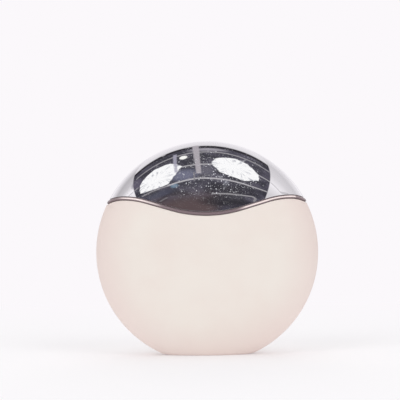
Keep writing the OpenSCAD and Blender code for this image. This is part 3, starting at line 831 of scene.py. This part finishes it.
@dataclass(frozen=True)
class Wave:
    """The wave-shaped seam: a dip, straight flanks, two crests and their ends."""

    middle: float
    dip_rise: float = 13.9 * MM
    dip_radius: float = 47.3 * MM
    flank: float = math.radians(16.4)
    crest_x: float = 31.4 * MM
    crest_radius: float = 29.5 * MM
    end_radius: float = 13.0 * MM

    def height(self, x: float, rise: float) -> float:
        """Give the seam's height at x, with the seam shifted outwards by rise."""
        x = abs(x)
        dip_z = self.middle + self.dip_rise + self.dip_radius
        start_x = self.dip_radius * math.sin(self.flank)
        start_z = dip_z - self.dip_radius * math.cos(self.flank)
        end_x = self.crest_x - self.crest_radius * math.sin(self.flank)
        end_z = start_z + math.tan(self.flank) * (end_x - start_x)
        crest_z = end_z - self.crest_radius * math.cos(self.flank)
        shift = rise * math.sin(self.flank)
        if x <= start_x - shift:
            return dip_z - math.sqrt((self.dip_radius - rise) ** 2 - x * x)
        if x <= end_x - shift:
            return start_z + (x - start_x) * math.tan(self.flank) + rise / math.cos(self.flank)
        if x <= self.crest_x:
            return crest_z + math.sqrt((self.crest_radius + rise) ** 2 - (x - self.crest_x) ** 2)
        end_z = crest_z + self.crest_radius - self.end_radius
        return end_z + math.sqrt((self.end_radius + rise) ** 2 - (x - self.crest_x) ** 2)

    def reach(self, turn: float, rise: float, limit: float) -> float:
        """Give the distance from the pebble's axis to the seam along a spoke, up to a limit."""
        if math.sin(turn) <= 0:
            return limit

        def past(reach: float) -> bool:
            """Tell whether a distance along the spoke is past the seam."""
            x = reach * math.cos(turn)
            outside_end = abs(x) > self.crest_x + self.end_radius
            return outside_end or self.middle + reach * math.sin(turn) > self.height(x, rise)

        return halve(0.0, limit, past)

    def rim_turn(self, rise: float, limit: float) -> float:
        """Give the spoke angle at which the seam meets the given outline radius, at +X."""
        return halve(0.0, math.pi / 2, lambda turn: self.reach(turn, rise, limit) < limit - WELD)


@dataclass(frozen=True)
class Edge:
    """How a shell's edge is finished: its rounding and the shell's wall."""

    rounding: float = 0.28 * MM
    wall: float = 1.6 * MM
    steps: int = 5

    def walk(self, fit: float = 1.0) -> list[tuple[float, float]]:
        """Give (distance in from the edge, depth) from the face round to the wall's foot.

        Args:
            fit: shrinks the rounding and the wall where the shell runs to a point.

        Returns:
            The steps, from the face to the inner surface.
        """
        rounding, wall = self.rounding * fit, self.wall * fit
        turns = [math.pi / 2 * step / self.steps for step in range(self.steps + 1)]
        walk = [(rounding * (1 - math.sin(a)), rounding * (1 - math.cos(a))) for a in turns]
        return walk + [(0.0, (rounding + wall) / 2), (0.0, wall)]


class Shell:
    """A thin curved wall over part of the pebble, between two slopes on every spoke."""

    face_rows = 44
    back_rows = 12
    guard = 0.03 * MM
    crowding = 1.35

    def __init__(self, pebble: Pebble, side: Side, edge: Edge) -> None:
        """Keep what the shell is made from."""
        self.pebble = pebble
        self.side = side
        self.edge = edge

    def column(self, turn: float, inner: float, outer: float, hole: bool) -> Column:
        """Give one closed line of points round the wall's section on a spoke.

        Args:
            turn: angle of the spoke.
            inner: slope at the edge nearer the middle, a quarter turn where there's no hole.
            outer: slope at the edge nearer the rim.
            hole: whether the shell has an inner edge too.

        Returns:
            The points.
        """
        length = self.pebble.stretch((inner + outer) / 2) * (inner - outer)
        fit = min(1.0, length / (4 * self.edge.rounding) if hole else 1.0)
        at_inner, at_outer = self.pebble.stretch(inner), self.pebble.stretch(outer)
        walk = self.edge.walk(fit)
        end = [(outer + gap / at_outer, depth) for gap, depth in walk]
        start = [(inner, 0.0)]
        if hole:
            start = [(inner - gap / at_inner, depth) for gap, depth in reversed(walk)]
        face_from = start[-1][0] - self.guard * fit / at_inner
        face_to = end[0][0] + self.guard * fit / at_outer
        steps = [self.ease(row / self.face_rows) for row in range(self.face_rows + 1)]
        face = [(face_from + (face_to - face_from) * step, 0.0) for step in steps]
        back = [
            (outer + (inner - outer) * row / self.back_rows, self.edge.wall * fit)
            for row in range(1, self.back_rows + 1)
        ]
        rows = start + face + end + back
        return [self.pebble.point(turn, slope, depth, self.side) for slope, depth in rows]

    def ease(self, step: float) -> float:
        """Crowd the rows towards the outer edge."""
        return 1 - (1 - step) ** self.crowding


# -------------------------------------------------------------------- assemblies


@dataclass
class Covers:
    """The two soft-touch covers, their parting line, the button's hole and the small openings."""

    pebble: Pebble
    wave: Wave
    parting: float = 0.1 * MM
    button_hole: float = 8.9 * MM
    light_xs: tuple[float, ...] = (-5 * MM, 0.0, 5 * MM)
    light_z: float = 22 * MM
    light_hole: float = 0.95 * MM
    light_cut: Span = (-6 * MM, 0.4 * MM)
    lens_gap: float = 0.05 * MM
    lens_foot: float = -1.5 * MM
    light_steps: int = 40
    port_half_width: float = 4.62 * MM
    port_half_height: float = 1.73 * MM
    port_cut: float = 8 * MM
    spokes: int = 340
    edge: Edge = Edge(0.26 * MM, 1.9 * MM)

    def spoke_turns(self) -> list[float]:
        """Give the spokes' angles, with one exactly where the seam meets the rim."""
        rim = self.wave.rim_turn(0.0, self.pebble.radius)
        above = round(self.spokes * (math.pi - 2 * rim) / math.tau)
        below = self.spokes - above
        upper = [rim + (math.pi - 2 * rim) * i / above for i in range(above)]
        lower = [math.pi - rim + (math.pi + 2 * rim) * i / below for i in range(below)]
        return upper + lower + [rim + math.tau]

    def shell(self, name: str, side: Side) -> bpy.types.Object:
        """Build one cover."""
        shell = Shell(self.pebble, side, self.edge)
        hole = side is Side.BUTTON
        inner = self.pebble.slope_at(self.button_hole) if hole else math.pi / 2
        parting = self.pebble.slope_beside(self.parting / 2)
        columns = []
        for turn in self.spoke_turns():
            seam = self.pebble.slope_at(self.wave.reach(turn, 0.0, self.pebble.radius))
            columns.append(shell.column(turn, inner, max(seam, parting), hole))
        return Workshop.loft(name, columns)

    def port_cutter(self) -> bpy.types.Object:
        """Build the slot-shaped cutter of the charging port's opening."""
        Workshop.clear_selection()
        bpy.ops.mesh.primitive_cylinder_add(
            vertices=48, radius=self.port_half_height, depth=self.port_cut, location=(0, 0, 0)
        )
        cutter = bpy.context.object
        reach = self.port_half_width - self.port_half_height
        for vertex in cutter.data.vertices:
            if abs(vertex.co.x) > WELD:
                vertex.co.x += math.copysign(reach, vertex.co.x)
        return cutter

    def light_place(self, x: float) -> Matrix:
        """Give the place of one status light: on the surface, with Z as its outward normal."""
        offset = Vector((x, self.light_z - self.pebble.middle))
        turn, slope = math.atan2(offset.y, offset.x), self.pebble.slope_at(offset.length)
        normal = self.pebble.normal(turn, slope, Side.BUTTON)
        spot = self.pebble.point(turn, slope, 0.0, Side.BUTTON)
        return Matrix.Translation(spot) @ normal.to_track_quat("Z", "Y").to_matrix().to_4x4()

    def light_cutter(self, x: float) -> bpy.types.Object:
        """Build the cutter of one status light's hole."""
        low, high = self.light_cut
        hole = [(0.0, low), (self.light_hole, low), (self.light_hole, high), (0.0, high)]
        return Workshop.turn("light_cutter", hole, self.light_place(x), self.light_steps)

    def lenses(self) -> bpy.types.Object:
        """Build the domed ends of the light guide, which close the holes."""
        radius, foot = self.light_hole - self.lens_gap, self.lens_foot
        outline = rounded([
            (0.0, foot, 0.0), (radius, foot, 0.0), (radius, 0.02 * MM, 0.16 * MM),
            (0.45 * radius, 0.1 * MM, 0.4 * MM), (0.0, 0.12 * MM, 0.0),
        ])
        ends = [
            Workshop.turn(f"lens_{i}", outline, self.light_place(x), self.light_steps)
            for i, x in enumerate(self.light_xs)
        ]
        Workshop.clear_selection()
        for end in ends:
            end.select_set(True)
        bpy.context.view_layer.objects.active = ends[0]
        bpy.ops.object.join()
        ends[0].name = "status_lenses"
        return ends[0]

    def build(self) -> None:
        """Build both covers and the lenses, and put the covers in place of their CAD solids."""
        front = self.shell("front_cover_shell", Side.PLAIN)
        rear = self.shell("rear_cover_shell", Side.BUTTON)
        for cover in (front, rear):
            Workshop.cut(cover, self.port_cutter())
        for x in self.light_xs:
            Workshop.cut(rear, self.light_cutter(x))
        for cover, node in ((front, "front_cover"), (rear, "rear_cover")):
            finish_piece(cover, "device", "cover_plastic")
            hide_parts(node)
        finish_piece(self.lenses(), "device", "guide_plastic")


@dataclass
class Head:
    """The two mirror-bright electrodes above the wave-shaped bead."""

    pebble: Pebble
    wave: Wave
    bead_height: float = 1.3 * MM
    bead_proud: float = 0.26 * MM
    bead_foot: float = 1.0 * MM
    bead_shoulder: float = 0.35
    shoulder_round: float = 0.16 * MM
    bead_crown: float = 0.45
    crown_round: float = 0.9 * MM
    seam: float = 0.1 * MM
    divider: float = 0.65 * MM
    narrowest: float = 1e-5
    spokes: int = 260
    bead_steps: int = 520
    edge: Edge = Edge(0.1 * MM, 1.0 * MM)

    def electrode(self, name: str, side: Side) -> bpy.types.Object:
        """Build one electrode."""
        shell = Shell(self.pebble, side, self.edge)
        rise = self.bead_height + 2 * self.seam
        outer = self.pebble.slope_beside(self.divider)
        corner_reach = self.pebble.radius * math.cos(outer)
        corner = self.wave.rim_turn(rise, corner_reach)
        columns = []
        for i in range(self.spokes + 1):
            swing = math.cos(math.pi * i / self.spokes)
            turn = math.pi / 2 - (math.pi / 2 - corner) * swing
            inner = self.pebble.slope_at(self.wave.reach(turn, rise, corner_reach))
            column = shell.column(turn, max(inner, outer + self.narrowest), outer, True)
            columns.append(column + column[:1])
        return Workshop.loft(name, columns)

    def bead(self) -> bpy.types.Object:
        """Build the bead as one ring that follows the seam over both faces."""
        rise = self.seam + self.bead_height / 2
        rim = self.wave.rim_turn(rise, self.pebble.radius)
        path = []
        for i in range(self.bead_steps):
            swing = math.tau * i / self.bead_steps
            turn = math.pi / 2 - (math.pi / 2 - rim) * math.cos(swing)
            slope = self.pebble.slope_at(self.wave.reach(turn, rise, self.pebble.radius))
            side = Side.PLAIN if swing < math.pi else Side.BUTTON
            point = self.pebble.point(turn, slope, 0.0, side)
            path.append((point, self.pebble.normal(turn, slope, side)))
        half, top = self.bead_height / 2, self.bead_proud
        crown, shoulder = half * self.bead_crown, top * self.bead_shoulder
        section = rounded([
            (-half, -self.bead_foot, 0.0), (half, -self.bead_foot, 0.0),
            (half, shoulder, self.shoulder_round), (crown, top, self.crown_round),
            (-crown, top, self.crown_round), (-half, shoulder, self.shoulder_round),
        ])
        columns = []
        for i, (point, normal) in enumerate(path):
            along = path[(i + 1) % len(path)][0] - path[i - 1][0]
            across = normal.cross(along).normalized()
            columns.append([point + across * x + normal * y for x, y in section + section[:1]])
        return Workshop.loft("trim_bead", columns + columns[:1])

    def build(self) -> None:
        """Build the head's pieces and put them in place of their CAD solids."""
        bead = self.bead()
        front = self.electrode("front_electrode_shell", Side.PLAIN)
        rear = self.electrode("rear_electrode_shell", Side.BUTTON)
        pieces = (
            (front, "front_electrode", "electrode_metal"),
            (rear, "rear_electrode", "electrode_metal"),
            (bead, "trim_ring", "trim_metal"),
        )
        for piece, node, slot in pieces:
            finish_piece(piece, "device", slot)
            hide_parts(node)
        # The bead's material paints its highlights, shade and dark reflections into its colour.
        bead.data.materials[0] = BeadMetalPaintedLight().material("bead_metal_painted_light")


@dataclass
class Button:
    """The power button with its finger dish, and the metal ring around it."""

    middle: float
    radius: float = 7 * MM
    top: float = 16 * MM
    dish: float = 0.5 * MM
    dish_radius: float = 5.6 * MM
    flange_radius: float = 8.6 * MM
    flange_height: float = 0.8 * MM
    stem_radius: float = 2.5 * MM
    stem_length: float = 1.35 * MM
    hole_radius: float = 7.12 * MM
    ring_radius: float = 8.82 * MM
    outer_chamfer: Span = (0.42 * MM, 0.3 * MM)
    inner_chamfer: Span = (0.62 * MM, 0.42 * MM)
    dish_steps: int = 10
    cap_steps: int = 128
    ring_steps: int = 144

    def place(self) -> Matrix:
        """Give the lathe's place: its Z axis points out of the button's face."""
        return Matrix.Translation((0, 0, self.middle)) @ Matrix.Rotation(-math.pi / 2, 4, "X")

    def cap(self) -> bpy.types.Object:
        """Turn the cap, its flange and its stem."""
        stem_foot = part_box("power_button")[0].y
        flange_foot = stem_foot + self.stem_length
        flange_top = flange_foot + self.flange_height
        bowl = []
        for i in range(self.dish_steps + 1):
            share = 1 - i / self.dish_steps
            depth = self.dish * (0.5 + 0.5 * math.cos(math.pi * share))
            bowl.append((self.dish_radius * share, self.top - depth))
        outline = rounded([
            (0.0, stem_foot, 0.0), (self.stem_radius, stem_foot, 0.2 * MM),
            (self.stem_radius, flange_foot, 0.1 * MM), (self.flange_radius, flange_foot, 0.15 * MM),
            (self.flange_radius, flange_top, 0.15 * MM), (self.radius, flange_top, 0.1 * MM),
            (self.radius, self.top, 0.45 * MM),
        ])
        return Workshop.turn("power_button_cap", outline + bowl, self.place(), self.cap_steps)

    def ring(self) -> bpy.types.Object:
        """Turn the ring around the button, with a narrow crown between two chamfers."""
        low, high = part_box("button_bezel")
        inner, outer, top = self.hole_radius, self.ring_radius, high.y
        (wide, tall), (inner_wide, inner_tall) = self.outer_chamfer, self.inner_chamfer
        outline = rounded([
            (inner, low.y, 0.0), (outer, low.y, 0.0), (outer, top - tall, 0.08 * MM),
            (outer - wide, top, 0.2 * MM), (inner + inner_wide, top, 0.12 * MM),
            (inner, top - inner_tall, 0.08 * MM),
        ])
        return Workshop.turn("button_ring", outline, self.place(), self.ring_steps)

    def build(self) -> None:
        """Build the button's pieces and put them in place of their CAD solids."""
        cap, ring = self.cap(), self.ring()
        finish_piece(cap, "button", "button_plastic")
        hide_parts("power_button")
        finish_piece(ring, "device", "trim_metal")
        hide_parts("button_bezel")


def dress_nodes() -> None:
    """Give every CAD node the procedural material of its slot in the record."""
    by_node = {part["node"]: part["material_slot"] for part in frame["record"]["subparts"]}
    for name, node in frame["nodes"].items():
        slot = by_node[name]
        node.data.materials.clear()
        node.data.materials.append(slot_material(slot))
        LOG.info("%s wears %s", name, slot)


# ------------------------------------------------------------------------ studio


def grey(value: int) -> Colour:
    """Give a slightly cool grey, written as a display value."""
    return rgb(value, value - 3, value + 1)


def heading(start: Spot, end: Spot) -> tuple[Spot, float]:
    """Give the direction from one spot to another, and their distance."""
    across, along = end[0] - start[0], end[1] - start[1]
    length = math.hypot(across, along)
    return (across / length, along / length), length


@dataclass(frozen=True)
class Umbrella:
    """A bright umbrella lamp: a hub and a convex outline of corners, anticlockwise."""

    hub: Spot
    corners: tuple[Spot, ...]


@dataclass(frozen=True)
class Rail:
    """A straight rail or post from one end to the other."""

    start: Spot
    end: Spot
    half_width: float
    tone: Colour
    strength: float = 0.85


@dataclass(frozen=True)
class Glow:
    """A soft oval patch of light or shade."""

    middle: Spot
    reach: Spot
    tone: Colour
    strength: float = 0.7


class MirroredRoom:
    """The room that polished metal mirrors.

    Its places are on a ceiling one unit above the device: the first number is +X over +Z, and the
    second is +Y over +Z. The white backdrop and the white side screens stand outside the ceiling.
    """

    left_screen = (
        (-1.3, 228), (-0.85, 243), (-0.6, 246), (-0.42, 222), (-0.2, 199), (0.3, 185), (0.6, 206),
        (0.95, 222), (2.3, 248),
    )
    right_screen = (
        (-1.3, 214), (-1.0, 231), (-0.8, 243), (-0.57, 233), (-0.3, 217), (0.3, 207), (0.65, 223),
        (1.1, 229), (2.3, 249),
    )
    backdrop = ((0.24, 212), (0.4, 227), (0.65, 232), (0.95, 236), (1.5, 243), (2.3, 250))
    greys_reach = (-1.4, 2.4)
    left_edge, left_lean = (-1.03, -1.0), -0.278
    right_edge, right_lean = (0.782, 0.81), 0.232
    back_edge = (0.19, 0.26)
    horizon = (0.02, 0.1)
    umbrellas = (
        Umbrella((-0.71, -0.88), (
            (-1.09, -1.19), (-0.78, -1.295), (-0.575, -1.285), (-0.39, -0.95), (-0.285, -0.717),
            (-0.405, -0.465), (-0.655, -0.42), (-0.90, -0.56), (-1.02, -0.70), (-1.12, -0.93),
            (-1.16, -1.1),
        )),
        Umbrella((0.33, -0.74), (
            (0.33, -1.13), (0.545, -1.195), (0.65, -1.10), (0.785, -0.955), (0.715, -0.70),
            (0.56, -0.53), (0.49, -0.45), (0.33, -0.375), (0.20, -0.43), (0.10, -0.517),
            (0.070, -0.633), (0.072, -0.767), (0.18, -1.03),
        )),
    )
    glows = (
        Glow((-0.30, -1.08), (0.26, 0.30), rgb(118, 120, 142), 0.8),
        Glow((-0.50, -1.42), (0.09, 0.14), rgb(116, 138, 158), 0.9),
        Glow((0.30, -1.50), (0.05, 0.30), rgb(132, 134, 144), 0.8),
        Glow((-1.05, -0.52), (0.20, 0.34), rgb(100, 95, 112), 0.8),
        Glow((0.02, -0.07), (0.26, 0.12), rgb(166, 162, 170), 0.9),
        Glow((0.02, -0.95), (0.16, 0.34), rgb(104, 102, 114), 0.7),
        Glow((-0.85, -1.62), (0.40, 0.22), rgb(74, 76, 92), 0.7),
        Glow((0.42, -1.74), (0.62, 0.36), rgb(46, 44, 52), 0.85),
        Glow((0.45, -2.45), (0.75, 0.55), rgb(44, 42, 48), 0.85),
        Glow((-0.45, 0.25), (0.04, 0.16), grey(206), 0.7),
    )
    rails = (
        Rail((-0.99, -0.225), (0.83, -0.225), 0.027, grey(162)),
        Rail((-0.32, -0.745), (0.08, -0.75), 0.022, grey(182)),
        Rail((0.68, -0.71), (0.96, -0.70), 0.022, grey(182)),
        Rail((-1.24, -0.74), (-1.08, -0.74), 0.022, grey(158)),
        Rail((-1.20, -1.31), (-0.62, -1.35), 0.028, grey(160)),
        Rail((-0.62, -1.35), (-0.12, -1.27), 0.028, grey(196)),
        Rail((-0.12, -1.27), (0.72, -1.33), 0.028, grey(194)),
        Rail((0.72, -1.33), (1.08, -1.26), 0.028, grey(180)),
        Rail((0.10, -1.99), (0.62, -1.91), 0.036, grey(166)),
        Rail((0.62, -1.91), (0.92, -1.82), 0.036, grey(164)),
        Rail((0.91, -1.82), (1.00, -1.90), 0.034, grey(158)),
        Rail((0.99, -1.89), (1.01, -2.08), 0.032, grey(146)),
        Rail((-0.97, -2.04), (-0.74, -1.91), 0.032, grey(122)),
        Rail((0.98, -0.70), (1.34, -0.81), 0.022, grey(192)),
        Rail((1.34, -0.81), (1.54, -0.42), 0.055, grey(184), 0.7),
        Rail((-1.44, -0.70), (-1.26, -0.75), 0.024, grey(186)),
        Rail((-0.155, -1.02), (-0.165, -1.36), 0.010, grey(132)),
    )
    strut = Rail((-0.325, -0.10), (-0.385, -0.90), 0.021, rgb(168, 165, 182))
    pillar = Rail((-0.100, 0.30), (-0.094, -1.08), 0.032, rgb(176, 170, 176), 0.95)
    bulb, bulb_reach, bulb_tone = (-0.245, -0.37), (0.045, 0.08), rgb(255, 255, 250)
    lit_fold, dark_fold = (1.0, 1.0, 1.0), rgb(168, 170, 180)

    def __init__(self, graph: Graph) -> None:
        """Work out the ceiling's places from a mirrored ray's direction."""
        self.graph = graph
        self.x, self.y, self.z = graph.parts(graph.out("ShaderNodeTexCoord", output="Generated"))
        height = self.z.highest(0.02)
        self.across, self.along = self.x / height, self.y / height
        plane = graph.out("ShaderNodeCombineXYZ", None, {0: self.across, 1: self.along})
        self.cloud = graph.texture(plane, 3.2, 5.0)
        self.ragged = graph.texture(plane, 11.0, 3.0)

    def screen(self, greys: Sequence[tuple[float, int]]) -> Socket:
        """Give the colour of a screen from greys placed along the room."""
        stops = [(place, grey(value)) for place, value in greys]
        return self.graph.ramp(self.along, *self.greys_reach, stops)

    def screens(self) -> tuple[Socket, Socket]:
        """Give the colour of the backdrop and the side screens, and 1 under the dark ceiling."""
        graph, across, along = self.graph, self.across, self.along
        left = (across + along * self.left_lean).rise(*self.left_edge)
        right = 1 - (across + along * self.right_lean).rise(*self.right_edge)
        to_right = across.rise(-0.1, 0.1)
        sides = graph.mix(to_right, self.screen(self.left_screen), self.screen(self.right_screen))
        colour = graph.mix(left * right, sides, self.screen(self.backdrop))
        far = self.z.band(-0.12, 0.2, 0.16) * self.y.rise(0.1, 0.5)
        far = far * (1 - abs(self.x / self.y.highest(0.05)).rise(0.5, 1.4))
        colour = graph.mix(far * 0.45, colour, rgb(136, 133, 142))
        return colour, left * right * (1 - along.rise(*self.back_edge)) * self.z.rise(*self.horizon)

    def ceiling(self) -> Socket:
        """Give the dark ceiling's colour: bluish and cloudy, darker far off and browner near."""
        graph = self.graph
        cloudy = graph.mix(self.cloud.rise(0.38, 0.66), rgb(58, 57, 66), rgb(88, 85, 98))
        low = (0 - self.along).rise(1.5, 2.6)
        brown = graph.mix(low * (1 - self.across.rise(0.0, 0.5)), cloudy, rgb(92, 78, 80))
        return graph.mix(self.along.band(0.04, 0.5, 0.08), brown, rgb(44, 41, 48))

    def oval(self, middle: Spot, reach: Spot) -> Socket:
        """Give the squared distance from a spot, which is 1 on the oval of the given reach."""
        across, along = (self.across - middle[0]) / reach[0], (self.along - middle[1]) / reach[1]
        return across.power(2.0) + along.power(2.0)

    def past(self, start: Spot, way: Spot) -> Socket:
        """Give how far a place is past a spot, in a direction of length one."""
        (x, y), (dx, dy) = start, way
        return self.across * dx + self.along * dy - (x * dx + y * dy)

    def rail(self, rail: Rail) -> Socket:
        """Give a mask over a rail."""
        (dx, dy), length = heading(rail.start, rail.end)
        run, off = self.past(rail.start, (dx, dy)), self.past(rail.start, (-dy, dx))
        soft = min(rail.half_width, 0.02)
        edge = abs(off).rise(rail.half_width - soft / 2, rail.half_width + soft / 2)
        return (1 - edge) * run.band(0.0, length, soft) * rail.strength

    def umbrella(self, lamp: Umbrella) -> tuple[Socket, Socket]:
        """Give a mask over an umbrella lamp, and the colour of its folds."""
        graph, inside = self.graph, None
        for start, end in zip(lamp.corners, lamp.corners[1:] + lamp.corners[:1]):
            dx, dy = heading(start, end)[0]
            depth = self.past(start, (-dy, dx))
            inside = depth if inside is None else inside.lowest(depth)
        mask = (inside + (self.ragged - 0.5) * 0.05).rise(-0.006, 0.014)
        across, along = self.across - lamp.hub[0], self.along - lamp.hub[1]
        reach = across.hypot(along)
        around = along.swing(across) * 2.6
        fan = graph.out("ShaderNodeCombineXYZ", None, {0: around, 1: reach * 2.0})
        shade = graph.texture(fan, 1.6, 4.0).rise(0.53, 0.64) * reach.rise(0.08, 0.28)
        return mask, graph.mix(shade * 0.85, self.lit_fold, self.dark_fold)

    def colour(self) -> Socket:
        """Draw the whole room, as a colour for each direction."""
        graph = self.graph
        colour, dark = self.screens()
        colour = graph.mix(dark, colour, self.ceiling())
        for glow in self.glows:
            mask = (1 - self.oval(glow.middle, glow.reach).rise(0.0, 1.0)) * glow.strength
            colour = graph.mix(mask, colour, glow.tone)
        bulb = 1 - self.oval(self.bulb, self.bulb_reach).rise(0.6, 1.4)
        colour = graph.mix(bulb, colour, self.bulb_tone)
        for rail in self.rails:
            colour = graph.mix(self.rail(rail), colour, rail.tone)
        for lamp in self.umbrellas:
            mask, tone = self.umbrella(lamp)
            colour = graph.mix(mask, colour, tone)
        for rail in (self.strut, self.pillar):
            colour = graph.mix(self.rail(rail), colour, rail.tone)
        return colour


@dataclass
class Studio:
    """The camera, the pale floor, the soft lamps and the white surroundings."""

    white: Colour = rgb(251, 248, 251)
    camera_place: Vector = field(default_factory=lambda: Vector((-2.5 * MM, -0.6, 58.3 * MM)))
    camera_roll: float = math.radians(0.66)
    frame_width: float = 151.46 * MM
    sky: Colour = (0.59, 0.59, 0.594)
    lamp_power: float = 4.72
    lamp_aim: Vector = field(default_factory=lambda: Vector((0, 0, 0.04)))
    lamps: tuple[tuple[str, Colour, float, float], ...] = (
        ("left_lamp", (-0.8, -1.0, 1.0), 0.9, 1.0),
        ("right_lamp", (0.8, -1.0, 1.0), 0.9, 0.95),
        ("top_lamp", (0.0, 0.1, 1.3), 1.2, 0.7),
        ("back_lamp", (0.0, 1.2, 0.8), 1.2, 0.8),
    )
    floor_size: float = 8.0
    floor_fade: Span = (0.1, 0.3)
    paper: Colour = (0.78, 0.77, 0.78)
    paper_glow: float = 0.17
    bounce: Colour = (0.8, 0.795, 0.8)
    bounce_glow: float = 0.29
    mirrored_front: Colour = (0.2, 0.19, 0.2)
    front_reach: Span = (0.05, 0.13)
    front_share: float = 0.75

    def camera(self) -> None:
        """Add the camera, which looks along +Y, with a slight roll."""
        data = bpy.data.cameras.new("camera")
        data.lens = data.sensor_width * -self.camera_place.y / self.frame_width
        camera = bpy.data.objects.new("camera", data)
        camera.location = self.camera_place
        camera.rotation_euler = (math.pi / 2, self.camera_roll, 0.0)
        bpy.context.collection.objects.link(camera)
        bpy.context.scene.camera = camera

    def floor(self) -> None:
        """Add the pale floor, which keeps the device's soft shadow and fades into the backdrop."""
        Workshop.clear_selection()
        bpy.ops.mesh.primitive_plane_add(size=self.floor_size, location=(0, 0, 0))
        floor = bpy.context.object
        floor.name = "studio_floor"
        material = bpy.data.materials.new("studio_floor")
        material.use_nodes = True
        graph = Graph(material.node_tree)
        x, y, _ = graph.own()
        near = graph.glowing(self.paper, self.white, self.paper_glow)
        plain = graph.out("ShaderNodeEmission", None, {"Color": self.white, "Strength": 1.0})
        far = x.hypot(y).rise(*self.floor_fade)
        seen = graph.out("ShaderNodeMixShader", None, {0: far, 1: near, 2: plain})
        mirror_ray = graph.ray("Glossy")
        front = (0 - y - abs(x) * 0.6).rise(*self.front_reach)
        tone = graph.mix(mirror_ray * front * self.front_share, self.bounce, self.mirrored_front)
        unseen = graph.glowing(tone, self.white, (1 - mirror_ray) * self.bounce_glow)
        rays = {0: graph.ray("Camera"), 1: unseen, 2: seen}
        surface = graph.out("ShaderNodeMixShader", None, rays)
        graph.node("ShaderNodeOutputMaterial", None, {"Surface": surface})
        floor.data.materials.append(material)

    def lights(self) -> None:
        """Add the large soft lamps round and above the device, unseen by polished metal."""
        for name, place, size, share in self.lamps:
            data = bpy.data.lights.new(name, "AREA")
            data.size, data.energy = size, self.lamp_power * share
            lamp = bpy.data.objects.new(name, data)
            lamp.location = place
            aim = self.lamp_aim - lamp.location
            lamp.rotation_euler = aim.to_track_quat("-Z", "Y").to_euler()
            lamp.visible_glossy = False
            bpy.context.collection.objects.link(lamp)

    def world(self) -> None:
        """Add the world: white to the camera, an even sky to matt surfaces, the room to metal."""
        world = bpy.data.worlds.new("studio")
        bpy.context.scene.world = world
        world.use_nodes = True
        graph = Graph(world.node_tree)
        sky = graph.mix(graph.ray("Glossy"), self.sky, MirroredRoom(graph).colour())
        seen = graph.ray("Camera").highest(graph.ray("Transmission"))
        colour = graph.mix(seen, sky, self.white)
        surface = graph.out("ShaderNodeBackground", None, {"Color": colour, "Strength": 1.0})
        graph.node("ShaderNodeOutputWorld", None, {"Surface": surface})

    def build(self) -> None:
        """Build the whole studio."""
        bpy.context.scene.view_settings.view_transform = "Standard"
        self.camera()
        self.floor()
        self.lights()
        self.world()


def main() -> None:
    """Build and dress the device, then the studio around it."""
    logging.basicConfig(level=logging.INFO, format="%(message)s")
    low, high = CAD_BOX
    radius = (high.x - low.x) / 2
    pebble = Pebble(radius, -low.y, low.z + radius - BASE_CUT)
    wave = Wave(pebble.middle)
    dress_nodes()
    Covers(pebble, wave).build()
    Head(pebble, wave).build()
    Button(pebble.middle).build()
    Studio().build()


if __name__ == "__main__":
    main()
